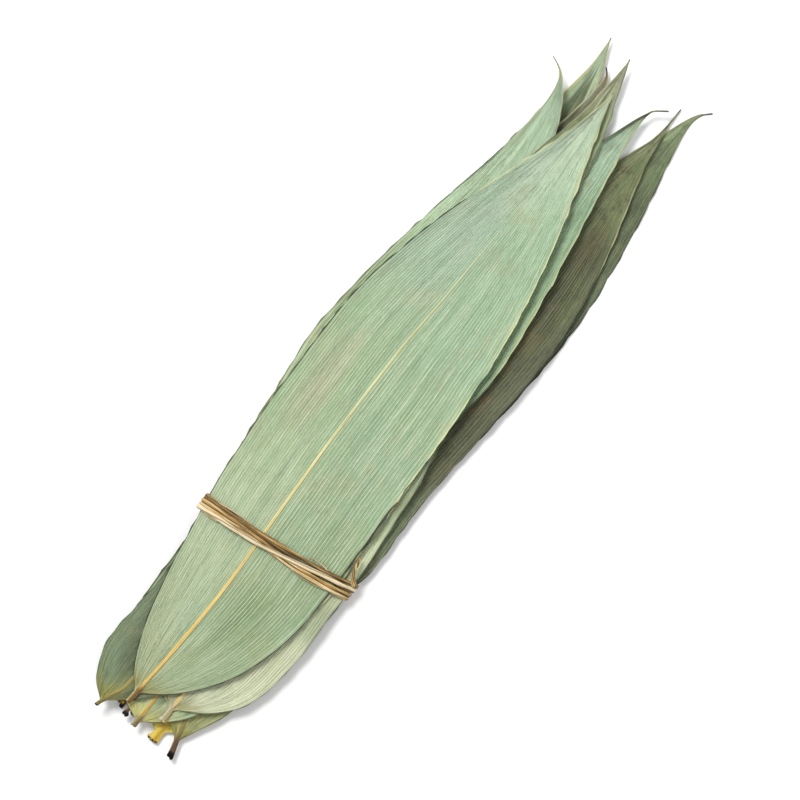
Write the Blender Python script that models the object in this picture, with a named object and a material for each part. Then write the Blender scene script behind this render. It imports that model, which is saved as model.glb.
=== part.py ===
"""A bundle of dried bamboo leaves, lying flat and tied with one dried rush strand.

Ten long leaves are laid on each other, base to base, and fan out a little towards their tips.
Each leaf is one solid: cut petiole, raised midrib and thin blade. The strand winds round the
bundle about a quarter of the way up, and its two ends are twisted together at the right edge.

The bundle is laid out in millimetres: x across it, y from the bases to the tips, z up. The
finished meshes are in metres, centred in x and y, with the lowest point at z = 0.
"""

from dataclasses import dataclass

import bmesh
import bpy
import numpy as np

MM = 0.001

# Leaves. A leaf is a grid of rows along y and columns across the blade.
BLADE_ROWS = 25
PETIOLE_ROWS = 2
COLUMN_SHARES = (-1.0, -0.55, 0.0, 0.0, 0.0, 0.55, 1.0)  # of the half width, midrib in the middle
RIB_SIDES = (-1.0, 0.0, 1.0)  # of the midrib's half width, for the three middle columns
RIB_HALF_WIDTH = 1.2
RIB_TAPER = 0.6  # share of its width and height that the midrib loses by the tip
RIB_HEIGHT = 0.55
BLADE_THICKNESS = 0.45
PETIOLE_HALF_WIDTH = 1.5
PETIOLE_PROFILE = (0.8, 1.3, 1.7, 1.8, 1.7, 1.3, 0.8)  # thickness of each column
PETIOLE_RUN_OUT = 0.05  # share of the blade over which the petiole thins into it
TIP_HALF_WIDTH = 0.4
TIP_SHARPNESS = 1.15
WAIST_PLACE = 0.15  # share of the blade's length
WAIST_LENGTH = 0.12
ROW_CROWDING = 0.55  # how much closer the rows stand at the base and the tip

# How the leaves lie on each other.
GAP = 0.3
PRESSED_FLAT = 0.15  # the lowest leaf lies flat where it comes this near to the surface
CELL = 1.5  # of the height map that a leaf is laid on
MAP_LOW = (-70.0, -40.0)
MAP_HIGH = (85.0, 465.0)
LAYING_STEPS = 160
LIFTS = 2  # after each step, off what lies below
SINK = 0.18  # how far a leaf sinks in one step
TIED_SINK = 1.5  # how much more it sinks under the tie
STIFFNESS = 0.6  # how strongly each point follows its neighbours
CROSS_SHARE = 0.28  # how much of that is across the leaf
USUAL_SPACING = 18.0  # of the rows

# The tie.
STRAND_RADIUS = 0.85
STRAND_GAP = 0.35
TIE_LOW = 99.0  # the stretch of the bundle, along y, that the turns cover
TIE_HIGH = 124.5
TIE_MIDDLE = (TIE_LOW + TIE_HIGH) / 2
PRESSED_LENGTH = 42.0  # how far along the leaves its pressure is felt
PRESSED_MARGINS = 1.0  # how far it bends their margins down
UNDER_TIE = 2 * STRAND_RADIUS + STRAND_GAP
UNDER_TIE_SIDES = (-42.0, 66.0)
# Each turn runs over the top from right to left, then back underneath: its height along y at
# the right edge, at the left edge, and whether it crosses over the turns beside it.
TURNS = (
    (121.4, 109.2, False),
    (118.9, 101.6, True),
    (111.4, 104.1, False),
    (113.9, 106.7, False),
)
LAST_RISE = 123.7
RUN_SPACING = 8.0  # of the points along a straight stretch of strand
TURN_SPACING = 20.0  # degrees between its points round an edge of the bundle
# The strand's two ends are twisted round each other on top of the right edge.
TWIST_INSET = 4.5  # from the bundle's right edge
TWIST_START = 125.5
TWIST_LENGTH = 11.0
TWIST_LEAN = (-0.3, 0.95, 0.12)
TWIST_TURNS = 1.5
TWIST_POINTS = 22
TWIST_RADIUS = STRAND_RADIUS + STRAND_GAP / 2
TWIST_CLEARANCE = 0.6


@dataclass(frozen=True)
class Half:
    """One half of a blade, between the midrib and the margin."""

    width: float  # at its widest
    widest: float = 0.42  # share of the blade's length at which that is
    fullness: float = 1.9  # how long it keeps its width towards the tip
    roundness: float = 5.5  # of its base
    waist: float = 0.0  # share of its width that it lacks a little above the base


@dataclass(frozen=True)
class Leaf:
    """One leaf, from its cut petiole to its pointed tip."""

    name: str
    spine: tuple  # (y, x) along the midrib, petiole end first, tip last
    petiole: float  # length
    left: Half
    right: Half
    margin_curl: float = 0.0  # how far the margins stand up
    wave: float = 0.0  # height of the ripples along the margins
    waves: float = 3.0  # ripples from base to tip
    tip_rise: float = 0.0
    color: tuple = (0.36, 0.46, 0.27, 1.0)
    roughness: float = 0.55


SAGE = (0.36, 0.47, 0.28, 1.0)
YELLOW_GREEN = (0.43, 0.52, 0.27, 1.0)
BRIGHT_GREEN = (0.25, 0.36, 0.18, 1.0)
PALE = (0.54, 0.60, 0.42, 1.0)
OLIVE = (0.28, 0.32, 0.16, 1.0)
BROWN_OLIVE = (0.15, 0.17, 0.085, 1.0)
DARK_GREEN = (0.20, 0.25, 0.14, 1.0)
STRAW = (0.62, 0.44, 0.22, 1.0)

# From the lowest leaf to the top one.
LEAVES = (
    Leaf(
        "leaf_lowest_dark",
        ((-11, 0), (40, 4), (110, 10), (220, 19), (345, 33), (413, 41), (431, 42.5), (438, 44.5), (443, 49)),
        petiole=6,
        left=Half(35, 0.44, 2.2, waist=0.2),
        right=Half(42, 0.44, 2.2),
        margin_curl=0.8,
        tip_rise=1.5,
        color=DARK_GREEN,
    ),
    Leaf(
        "leaf_inner_left",
        ((-12, -3), (0, -1), (110, 4), (250, 3), (392, -3)),
        petiole=6,
        left=Half(30, waist=0.25),
        right=Half(40),
        margin_curl=2.0,
        color=OLIVE,
    ),
    Leaf(
        "leaf_inner_right",
        ((-14, 25), (0, 25), (110, 18), (250, 14), (388, 8)),
        petiole=5,
        left=Half(40, roundness=14.0),
        right=Half(31, roundness=9.0, waist=0.3),
        margin_curl=2.0,
        color=OLIVE,
    ),
    Leaf(
        "leaf_right_brown",
        ((-14, 8), (110, 12), (220, 17), (320, 25), (391, 32), (434, 34)),
        petiole=6,
        left=Half(40),
        right=Half(46),
        margin_curl=1.6,
        wave=1.0,
        tip_rise=2.0,
        color=BROWN_OLIVE,
    ),
    Leaf(
        "leaf_crossing_green",
        ((-15, 38), (10, 31), (110, 20), (300, -2), (419, -15), (440, -20)),
        petiole=8,
        left=Half(41),
        right=Half(39, roundness=4.0),
        margin_curl=1.5,
        wave=1.0,
        tip_rise=6.0,
        color=SAGE,
    ),
    Leaf(
        "leaf_left_olive",
        ((-12, 4), (110, 7), (220, 5), (330, 2), (390, -3), (405, -5), (414, -6.5), (422, -8.5), (426, -12)),
        petiole=6,
        left=Half(44, waist=0.42),
        right=Half(42),
        margin_curl=1.8,
        tip_rise=3.0,
        color=OLIVE,
    ),
    Leaf(
        "leaf_right_green",
        ((-15, 12), (110, 10), (220, 8), (320, 11), (391, 17), (413, 19.5), (422, 22), (428, 29)),
        petiole=9,
        left=Half(40, roundness=9.0),
        right=Half(43, roundness=9.0, waist=0.1),
        margin_curl=1.6,
        wave=1.2,
        tip_rise=5.0,
        color=BRIGHT_GREEN,
    ),
    Leaf(
        "leaf_crossing_pale",
        (
            (-3, 22.5),
            (15, 22),
            (75, 19),
            (220, 4),
            (300, -6),
            (378, -18),
            (395, -22.5),
            (404, -26.5),
            (409, -31),
            (412, -38),
        ),
        petiole=9,
        left=Half(51.5, 0.5, 1.3, roundness=12.0, waist=0.15),
        right=Half(43, 0.4, roundness=8.0, waist=0.06),
        margin_curl=1.5,
        wave=1.4,
        waves=4.0,
        tip_rise=4.0,
        color=PALE,
    ),
    Leaf(
        "leaf_left_yellow",
        ((-17, -11), (-8, -8), (0, -5), (40, -3), (110, -1), (230, -2), (345, 1), (400, 2), (437, -4.5)),
        petiole=3,
        left=Half(37, roundness=10.0, waist=0.34),
        right=Half(52.5, 0.3, 1.6, roundness=2.2),
        margin_curl=1.8,
        wave=1.0,
        tip_rise=3.0,
        color=YELLOW_GREEN,
    ),
    Leaf(
        "leaf_top",
        ((-5, 1.5), (15, 2.5), (60, 4), (140, 0), (220, -3), (325, -1), (417, 0)),
        petiole=7,
        left=Half(39.5, 0.55, 1.6, roundness=4.0),
        right=Half(48.5, 0.46, 2.0, roundness=4.0),
        margin_curl=1.5,
        wave=1.6,
        waves=3.5,
        tip_rise=3.0,
        color=SAGE,
    ),
)


def smooth_curve(points, at):
    """Reads a smooth curve through (position, value) points, with no overshoot, at new positions."""
    known, values = np.array(points, float).T
    slopes = np.diff(values) / np.diff(known)
    tangents = np.zeros(len(known))
    tangents[0] = slopes[0]
    tangents[-1] = slopes[-1]
    same_way = slopes[:-1] * slopes[1:] > 0
    tangents[1:-1] = np.where(same_way, (slopes[:-1] + slopes[1:]) / 2, 0.0)
    steepest = 3 * np.minimum(np.abs(slopes[:-1]), np.abs(slopes[1:]))
    tangents[1:-1] = np.clip(tangents[1:-1], -steepest, steepest)
    left = np.clip(np.searchsorted(known, at, side="right") - 1, 0, len(known) - 2)
    span = known[left + 1] - known[left]
    share = (at - known[left]) / span
    rise = share * share * (3 - 2 * share)
    return (
        values[left] * (1 - rise)
        + values[left + 1] * rise
        + span * tangents[left] * share * (1 - share) ** 2
        - span * tangents[left + 1] * share**2 * (1 - share)
    )


def tie_pressure(along):
    """The tie's pressure on the leaves: 1 beneath it, fading out along them."""
    return np.exp(-(((along - TIE_MIDDLE) / PRESSED_LENGTH) ** 2))


class LeafGrid:
    """The rows and columns of one leaf: where they are in plan, and how thick the leaf is there."""

    def __init__(self, leaf):
        self.leaf = leaf
        first, last = leaf.spine[0][0], leaf.spine[-1][0]
        foot = first + leaf.petiole
        steps = np.linspace(0, 1, BLADE_ROWS)
        crowded = steps - ROW_CROWDING * np.sin(2 * np.pi * steps) / (2 * np.pi)
        petiole_rows = np.linspace(first, foot, PETIOLE_ROWS, endpoint=False)
        self.along = np.concatenate([petiole_rows, foot + (last - foot) * crowded])
        self.share = np.clip((self.along - foot) / (last - foot), 0, 1)
        spine = smooth_curve(leaf.spine, self.along)
        left = self.half_width(leaf.left)
        right = self.half_width(leaf.right)
        narrow = np.minimum(left, right)
        rib = np.minimum(RIB_HALF_WIDTH * (1 - RIB_TAPER * self.share), 0.3 * narrow)
        columns = []
        for index, part in enumerate(COLUMN_SHARES):
            if part:
                columns.append(spine + part * (left if part < 0 else right))
            else:
                columns.append(spine + RIB_SIDES[index - 2] * rib)
        self.x = np.stack(columns, axis=1)
        self.y = np.repeat(self.along[:, None], len(COLUMN_SHARES), axis=1)
        self.thickness = self.thicknesses()
        self.natural = self.natural_shape()
        self.triangles = self.triangulate()

    def half_width(self, half):
        """Half the blade's width at each row: round at the base, then a long narrowing to the tip."""
        to_base = np.clip(1 - self.share / half.widest, 0, 1)
        to_tip = np.clip((self.share - half.widest) / (1 - half.widest), 0, 1)
        waist = half.waist * np.exp(-(((self.share - WAIST_PLACE) / WAIST_LENGTH) ** 2))
        width = half.width * (1 - to_base**half.roundness) * (1 - waist)
        width *= (1 - to_tip**half.fullness) ** TIP_SHARPNESS
        least = np.where(self.share > half.widest, TIP_HALF_WIDTH, PETIOLE_HALF_WIDTH)
        return np.maximum(width, least)

    def thicknesses(self):
        """Blade and raised midrib, running out of the thicker petiole."""
        rib = np.zeros(len(COLUMN_SHARES))
        rib[2:5] = (0.35, 1.0, 0.35)
        blade = BLADE_THICKNESS + RIB_HEIGHT * np.outer(1 - RIB_TAPER * self.share, rib)
        petiole = np.clip(1 - self.share / PETIOLE_RUN_OUT, 0, 1)[:, None]
        return blade * (1 - petiole) + np.array(PETIOLE_PROFILE) * petiole

    def natural_shape(self):
        """How the leaf would stand if nothing pressed on it: curled, rippled margins and a raised tip."""
        leaf = self.leaf
        across = np.abs(COLUMN_SHARES) ** 2
        share = self.share[:, None]
        full = np.sin(np.pi * share) ** 0.5
        tied = tie_pressure(self.y)
        turn = 2 * np.pi * leaf.waves * share + 2.1 * (np.array(COLUMN_SHARES) > 0)
        margins = (leaf.margin_curl + leaf.wave * np.sin(turn)) * (1 - tied) - PRESSED_MARGINS * tied
        return margins * across * full + leaf.tip_rise * np.maximum(0, (share - 0.8) / 0.2) ** 2

    def triangulate(self):
        rows, columns = self.x.shape
        number = np.arange(rows * columns).reshape(rows, columns)
        low_left, low_right = number[:-1, :-1].ravel(), number[:-1, 1:].ravel()
        high_left, high_right = number[1:, :-1].ravel(), number[1:, 1:].ravel()
        first = np.stack([low_left, low_right, high_right], axis=1)
        second = np.stack([low_left, high_right, high_left], axis=1)
        return np.concatenate([first, second])


class HeightMap:
    """The height of what lies below, cell by cell."""

    def __init__(self):
        span = np.array(MAP_HIGH) - np.array(MAP_LOW)
        self.shape = tuple((span / CELL).astype(int) + 1)
        self.top = np.zeros(self.shape)
        across, along = self.places()
        under_tie = (along > TIE_LOW - CELL) & (along < TIE_HIGH + CELL)
        under_tie &= (across > UNDER_TIE_SIDES[0]) & (across < UNDER_TIE_SIDES[1])
        self.top[under_tie] = UNDER_TIE

    def places(self):
        across = MAP_LOW[0] + CELL * np.arange(self.shape[0])
        along = MAP_LOW[1] + CELL * np.arange(self.shape[1])
        return np.meshgrid(across, along, indexing="ij")

    def widened(self):
        """The map with each cell raised to its highest neighbour, so that nothing between cells is missed."""
        padded = np.pad(self.top, 1, mode="edge")
        rows, columns = self.shape
        around = [padded[i : i + rows, j : j + columns] for i in range(3) for j in range(3)]
        return np.max(around, axis=0)


class Footprint:
    """Points all over a leaf's triangles and edges, each with its cell and its share of three vertices."""

    def __init__(self, grid, height_map):
        self.corners = []
        self.shares = []
        self.cells = []
        self.points = np.stack([grid.x.ravel(), grid.y.ravel()], axis=1)
        for triangle in grid.triangles:
            self.add_inside(triangle, height_map.shape)
            self.add_edges(triangle, height_map.shape)
        self.corners = np.concatenate(self.corners)
        self.shares = np.concatenate(self.shares)
        self.cells = np.concatenate(self.cells)

    def add_inside(self, triangle, shape):
        a, b, c = self.points[triangle]
        low = np.floor((np.min([a, b, c], axis=0) - MAP_LOW) / CELL).astype(int)
        high = np.ceil((np.max([a, b, c], axis=0) - MAP_LOW) / CELL).astype(int)
        cells = np.stack(
            np.meshgrid(np.arange(low[0], high[0] + 1), np.arange(low[1], high[1] + 1), indexing="ij"),
            axis=-1,
        ).reshape(-1, 2)
        at = np.array(MAP_LOW) + CELL * cells
        area = (b[0] - a[0]) * (c[1] - a[1]) - (b[1] - a[1]) * (c[0] - a[0])
        if abs(area) < 1e-9:
            return
        second = ((at[:, 0] - a[0]) * (c[1] - a[1]) - (at[:, 1] - a[1]) * (c[0] - a[0])) / area
        third = ((b[0] - a[0]) * (at[:, 1] - a[1]) - (b[1] - a[1]) * (at[:, 0] - a[0])) / area
        shares = np.stack([1 - second - third, second, third], axis=1)
        inside = (shares >= 0).all(axis=1)
        self.keep(triangle, shares[inside], cells[inside])

    def add_edges(self, triangle, shape):
        for start in range(3):
            end = (start + 1) % 3
            length = np.linalg.norm(self.points[triangle[end]] - self.points[triangle[start]])
            part = np.linspace(0, 1, int(length / CELL) + 2)
            shares = np.zeros((len(part), 3))
            shares[:, start] = 1 - part
            shares[:, end] = part
            at = shares @ self.points[triangle]
            self.keep(triangle, shares, np.rint((at - MAP_LOW) / CELL).astype(int))

    def keep(self, triangle, shares, cells):
        self.corners.append(np.repeat(triangle[None, :], len(shares), axis=0))
        self.shares.append(shares)
        self.cells.append(cells)

    def heights(self, values):
        return (values[self.corners] * self.shares).sum(axis=1)

    def below(self, values):
        return values[self.cells[:, 0], self.cells[:, 1]]


class Springs:
    """How a leaf's points hold each other: the nearer a neighbour is, the more it counts."""

    def __init__(self, grid):
        along = 1 / np.diff(grid.y, axis=0)
        across = 1 / np.diff(grid.x, axis=1)
        self.after = np.pad(along, ((0, 1), (0, 0)))
        self.before = np.pad(along, ((1, 0), (0, 0)))
        self.right = np.pad(across, ((0, 0), (0, 1)))
        self.left = np.pad(across, ((0, 0), (1, 0)))
        spacing = np.gradient(grid.along)[:, None]
        self.weight = np.clip((spacing / USUAL_SPACING) ** 2, 0.03, 1.0)

    def mean(self, values):
        """Each point's mean neighbour height: mostly along the leaf, which bends less that way."""
        padded = np.pad(values, 1, mode="edge")
        lower, higher = padded[:-2, 1:-1], padded[2:, 1:-1]
        left, right = padded[1:-1, :-2], padded[1:-1, 2:]
        along = (lower * self.before + higher * self.after) / (self.before + self.after)
        across = (left * self.left + right * self.right) / (self.left + self.right)
        return (1 - CROSS_SHARE) * along + CROSS_SHARE * across


def lay(grid, height_map, gap):
    """The height of the leaf's underside once it has settled on what lies below, with a gap kept to it."""
    footprint = Footprint(grid, height_map)
    springs = Springs(grid)
    floor = footprint.below(height_map.widened() + gap)
    lengths = (footprint.shares**2).sum(axis=1)
    fair = footprint.shares / lengths[:, None]
    under = np.full(grid.x.shape, floor.max()) + grid.natural
    for step in range(LAYING_STEPS + 1):
        last = step == LAYING_STEPS
        if not last:
            bent = under - grid.natural
            under = grid.natural + (1 - STIFFNESS) * bent + STIFFNESS * springs.mean(bent)
            under -= SINK * springs.weight * (1 + TIED_SINK * tie_pressure(grid.y))
        for _ in range(LIFTS):
            missing = np.maximum(floor - footprint.heights(under.ravel()), 0)[:, None]
            lift = np.zeros(under.size)
            np.maximum.at(lift, footprint.corners, missing if last else missing * fair)
            under += lift.reshape(under.shape)
    top = footprint.heights((under + grid.thickness).ravel())
    np.maximum.at(height_map.top, (footprint.cells[:, 0], footprint.cells[:, 1]), top)
    return under


def leaf_mesh(grid, under):
    """One closed solid: the underside, the top, and the narrow face all round the margin."""
    rows, columns = under.shape
    shape = bmesh.new()
    layers = []
    for heights in (under, under + grid.thickness):
        points = np.stack([grid.x, grid.y, heights], axis=-1).reshape(-1, 3) * MM
        layers.append([shape.verts.new(point) for point in points])
    bottom, top = layers
    for a, b, c in grid.triangles:
        shape.faces.new((top[a], top[b], top[c]))
        shape.faces.new((bottom[c], bottom[b], bottom[a]))
    rim = [row * columns for row in range(rows)]
    rim += [(rows - 1) * columns + column for column in range(1, columns)]
    rim += [row * columns + columns - 1 for row in range(rows - 2, -1, -1)]
    rim += [column for column in range(columns - 2, 0, -1)]
    for here, there in zip(rim, rim[1:] + rim[:1]):
        shape.faces.new((bottom[here], top[here], top[there], bottom[there]))
    bmesh.ops.recalc_face_normals(shape, faces=shape.faces)
    mesh = bpy.data.meshes.new(grid.leaf.name)
    shape.to_mesh(mesh)
    shape.free()
    return mesh


class Girth:
    """The closed line round the bundle's cross-section that a strand follows, at any distance from it."""

    def __init__(self, points):
        angles = np.linspace(0, 2 * np.pi, 361)[:-1]
        self.normals = np.stack([np.cos(angles), np.sin(angles)], axis=1)
        self.touched = points[np.argmax(points @ self.normals.T, axis=0)]

    def half(self, over, distance):
        """Points from edge to edge, over the top or underneath, closer together where the line bends."""
        picked = np.arange(0, 181) if over else np.arange(180, 361) % 360
        flat = self.touched[picked]
        steps = np.linalg.norm(np.diff(flat, axis=0), axis=1) / RUN_SPACING + 1 / TURN_SPACING
        along = np.concatenate([[0], np.cumsum(steps)])
        at = np.linspace(0, along[-1], int(along[-1]) + 2)
        line = flat + distance * self.normals[picked]
        return np.stack([np.interp(at, along, line[:, 0]), np.interp(at, along, line[:, 1])], axis=1)


def bundle_outline(grids, unders):
    """The cross-section's points, taken from every leaf's rows near the tie."""
    found = []
    for grid, under in zip(grids, unders):
        wanted = np.linspace(TIE_LOW, TIE_HIGH, 9)
        for column in range(grid.x.shape[1]):
            for heights in (under, under + grid.thickness):
                x = np.interp(wanted, grid.along, grid.x[:, column])
                z = np.interp(wanted, grid.along, heights[:, column])
                found.append(np.stack([x, z], axis=1))
    return np.concatenate(found)


def twisted_ends(girth, height_map):
    """The strand's two ends, from the bundle outwards, wound round one straight middle line."""
    across, along = height_map.places()
    start_x = girth.touched[:, 0].max() - TWIST_INSET
    near = (np.abs(across - start_x) < TWIST_INSET) & (np.abs(along - TWIST_START - 6) < TWIST_LENGTH)
    height = height_map.top[near].max() + TWIST_RADIUS + STRAND_RADIUS + TWIST_CLEARANCE
    lean = np.array(TWIST_LEAN) / np.linalg.norm(TWIST_LEAN)
    side = np.cross(lean, (0, 0, 1))
    side /= np.linalg.norm(side)
    up = np.cross(side, lean)
    share = np.linspace(0, 1, TWIST_POINTS)[:, None]
    middle = np.array([start_x, TWIST_START, height]) + TWIST_LENGTH * share * lean
    angle = 2 * np.pi * TWIST_TURNS * share
    ends = []
    for first in (np.pi, 0.0):
        around = np.cos(first + angle) * side + np.sin(first + angle) * up
        ends.append(middle + TWIST_RADIUS * around)
    return ends


def strand_path(girth, height_map):
    """The strand's route: four turns round the bundle, the second crossing over its neighbours."""
    close = STRAND_RADIUS + GAP
    first_end, last_end = twisted_ends(girth, height_map)
    route = [first_end[::-1]]
    for number, (right, left, crosses) in enumerate(TURNS):
        following = TURNS[number + 1][0] if number + 1 < len(TURNS) else LAST_RISE
        over = girth.half(True, close)
        share = (over[0, 0] - over[:, 0]) / (over[0, 0] - over[-1, 0])
        share = np.clip(share, 0, 1)
        if crosses:
            lifted = girth.half(True, close + 2 * STRAND_RADIUS + STRAND_GAP)
            rise = np.clip(8 * share - 1.2, 0, 1) * np.clip(8 * (1 - share) - 0.4, 0, 1)
            over = over + (lifted - over) * rise[:, None]
        under = girth.half(False, close)
        turn = np.column_stack([over[:, 0], right + (left - right) * share, over[:, 1]])
        if number == 0:
            turn = turn[share > 0.1]
        route.append(turn)
        back = np.clip((under[1:-1, 0] - under[0, 0]) / (under[-1, 0] - under[0, 0]), 0, 1)
        route.append(
            np.column_stack([under[1:-1, 0], left + (following - left) * back, under[1:-1, 1]])
        )
    edge = girth.half(True, close)
    edge = edge[edge[:, 0] > girth.touched[:, 0].max() - TWIST_INSET / 3]
    route.append(np.column_stack([edge[:, 0], np.full(len(edge), LAST_RISE), edge[:, 1]]))
    route.append(last_end)
    return np.concatenate(route)


def material(name, color, roughness):
    made = bpy.data.materials.new(name)
    made.use_nodes = True
    shader = made.node_tree.nodes["Principled BSDF"]
    shader.inputs["Base Color"].default_value = color
    shader.inputs["Roughness"].default_value = roughness
    shader.inputs["Metallic"].default_value = 0.0
    return made


def place(name, mesh, shift, finish):
    built = bpy.data.objects.new(name, mesh)
    built.location = shift
    mesh.materials.append(finish)
    bpy.context.scene.collection.objects.link(built)


def strand_curve(route):
    """The strand as a round rope of dried rush along its route."""
    curve = bpy.data.curves.new("straw_tie", "CURVE")
    curve.dimensions = "3D"
    curve.bevel_depth = STRAND_RADIUS * MM
    curve.bevel_resolution = 1
    curve.use_fill_caps = True
    spline = curve.splines.new("POLY")
    spline.points.add(len(route) - 1)
    for point, where in zip(spline.points, route * MM):
        point.co = (*where, 1)
    return curve


def main():
    for old in list(bpy.data.objects):
        bpy.data.objects.remove(old)
    height_map = HeightMap()
    grids = [LeafGrid(leaf) for leaf in LEAVES]
    unders = [lay(grid, height_map, GAP if number else 0.0) for number, grid in enumerate(grids)]
    lowest = unders[0]
    lowest[lowest < PRESSED_FLAT] = 0.0
    route = strand_path(Girth(bundle_outline(grids, unders)), height_map)
    low_x = min(min(grid.x.min() for grid in grids), route[:, 0].min() - STRAND_RADIUS)
    high_x = max(max(grid.x.max() for grid in grids), route[:, 0].max() + STRAND_RADIUS)
    low_y = min(grid.along[0] for grid in grids)
    high_y = max(grid.along[-1] for grid in grids)
    shift = np.array([-(low_x + high_x) / 2, -(low_y + high_y) / 2, 0]) * MM
    for grid, under in zip(grids, unders):
        finish = material(grid.leaf.name, grid.leaf.color, grid.leaf.roughness)
        place(grid.leaf.name, leaf_mesh(grid, under), shift, finish)
    place("straw_tie", strand_curve(route), shift, material("straw", STRAW, 0.6))


main()
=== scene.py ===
"""Looks of a bundle of dried bamboo leaves: ten leaves laid base to base, and the rush strand that ties them.

Each leaf starts as a flat grid that takes its outline from the leaf's own plan and its heights from the
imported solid. The leaves are settled on each other from the lowest one up, their loose margins are raised as
far as there is room, and the strand is drawn tight round them.
"""

from __future__ import annotations

import logging
import math
from dataclasses import dataclass
from enum import Enum

import bpy
import numpy as np
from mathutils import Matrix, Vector

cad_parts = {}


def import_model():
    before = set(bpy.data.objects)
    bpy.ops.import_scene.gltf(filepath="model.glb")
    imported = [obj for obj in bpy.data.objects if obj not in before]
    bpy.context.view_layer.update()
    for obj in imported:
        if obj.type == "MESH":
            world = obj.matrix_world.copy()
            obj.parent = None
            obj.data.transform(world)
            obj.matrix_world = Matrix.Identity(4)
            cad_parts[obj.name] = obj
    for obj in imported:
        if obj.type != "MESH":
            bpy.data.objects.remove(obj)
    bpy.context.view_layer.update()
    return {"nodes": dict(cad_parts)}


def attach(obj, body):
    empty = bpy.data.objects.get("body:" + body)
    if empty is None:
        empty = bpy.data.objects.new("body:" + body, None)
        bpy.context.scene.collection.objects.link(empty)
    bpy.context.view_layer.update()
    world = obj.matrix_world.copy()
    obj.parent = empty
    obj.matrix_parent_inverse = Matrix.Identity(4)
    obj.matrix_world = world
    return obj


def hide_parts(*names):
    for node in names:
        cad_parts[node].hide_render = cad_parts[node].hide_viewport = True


LOG = logging.getLogger("bamboo_leaves")
MM = 0.001
ROOT = "root"
OPEN_ABOVE = 1000.0  # millimetres of room over the highest leaf
LEAF_SEED_STEP = 3.7  # moves the noise from one leaf to the next
STRAW_SEED_STEP = 5.0

Piece = bpy.types.Object
Socket = bpy.types.NodeSocket


class Side(Enum):
    """The half of a leaf that something is on, seen from its base."""

    LEFT = -1
    RIGHT = 1


def rgb(red: int, green: int, blue: int) -> tuple[float, float, float, float]:
    """Turns a colour as a screen shows it into the linear one that a shader takes.

    Args:
        red: From 0 to 255.
        green: From 0 to 255.
        blue: From 0 to 255.

    Returns:
        The linear colour with an alpha of 1.
    """
    linear = []
    for value in (red, green, blue):
        share = value / 255
        linear.append(share / 12.92 if share <= 0.04045 else ((share + 0.055) / 1.055) ** 2.4)
    return (linear[0], linear[1], linear[2], 1.0)


def smooth_curve(known: np.ndarray, values: np.ndarray, at: np.ndarray) -> np.ndarray:
    """Reads a curve through known values that never swings past them.

    Args:
        known: Increasing places.
        values: The value at each place, along the first axis.
        at: The places to read.

    Returns:
        The values there.
    """
    steps = np.diff(known)
    shape = (-1,) + (1,) * (values.ndim - 1)
    slopes = np.diff(values, axis=0) / steps.reshape(shape)
    tangents = np.zeros_like(values, dtype=float)
    tangents[0], tangents[-1] = slopes[0], slopes[-1]
    before, after = slopes[:-1], slopes[1:]
    total = before + after
    safe = np.where(np.abs(total) < 1e-12, 1.0, total)
    tangents[1:-1] = np.where(before * after > 0, 2 * before * after / safe, 0.0)
    place = np.clip(np.searchsorted(known, at) - 1, 0, len(steps) - 1)
    span = steps[place]
    share = (np.clip(at, known[0], known[-1]) - known[place]) / span
    share, span = share.reshape(shape), span.reshape(shape)
    start = (1 + 2 * share) * (1 - share) ** 2 * values[place]
    start_slope = share * (1 - share) ** 2 * span * tangents[place]
    end = share**2 * (3 - 2 * share) * values[place + 1]
    end_slope = share**2 * (share - 1) * span * tangents[place + 1]
    return start + start_slope + end + end_slope


def rise(value: np.ndarray, low: float, high: float) -> np.ndarray:
    """Goes smoothly from 0 at low to 1 at high."""
    share = np.clip((value - low) / (high - low), 0, 1)
    return share * share * (3 - 2 * share)


def between(value: np.ndarray, start: float, end: float, first: float, last: float) -> np.ndarray:
    """Rises to 1 over the first part of a stretch, and falls to 0 over its last part."""
    return rise(value, start, start + first) * rise(-value, -end, last - end)


def bell(distance: np.ndarray, reach: float) -> np.ndarray:
    """1 where the distance is 0, falling away over the reach."""
    return np.exp(-((distance / reach) ** 2))


def blurred(values: np.ndarray, times: int) -> np.ndarray:
    """Evens out a grid of values, keeping its size.

    Args:
        values: The grid.
        times: How often each value is mixed with its neighbours.

    Returns:
        The evened grid.
    """
    for _ in range(times):
        padded = np.pad(values, ((1, 1), (0, 0)), mode="edge")
        values = 0.5 * values + 0.25 * (padded[:-2] + padded[2:])
        padded = np.pad(values, ((0, 0), (1, 1)), mode="edge")
        values = 0.5 * values + 0.25 * (padded[:, :-2] + padded[:, 2:])
    return values


def placed_grid(name: str, points: np.ndarray, values: dict[str, np.ndarray]) -> Piece:
    """Adds a flat grid, moves its points into place and stores the numbers that its material reads.

    Args:
        name: Its name.
        points: The points' places in millimetres, row by row.
        values: Each attribute's name, and its number at each point.

    Returns:
        The grid.
    """
    rows, columns = points.shape[:2]
    bpy.ops.object.select_all(action="DESELECT")
    bpy.ops.mesh.primitive_grid_add(x_subdivisions=columns - 1, y_subdivisions=rows - 1, size=1.0)
    piece = bpy.context.active_object
    piece.name = piece.data.name = name
    piece.data.vertices.foreach_set("co", (points * MM).ravel())
    for key, value in values.items():
        stored = piece.data.attributes.new(key, "FLOAT", "POINT")
        stored.data.foreach_set("value", value.astype(np.float32).ravel())
    return piece


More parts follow.
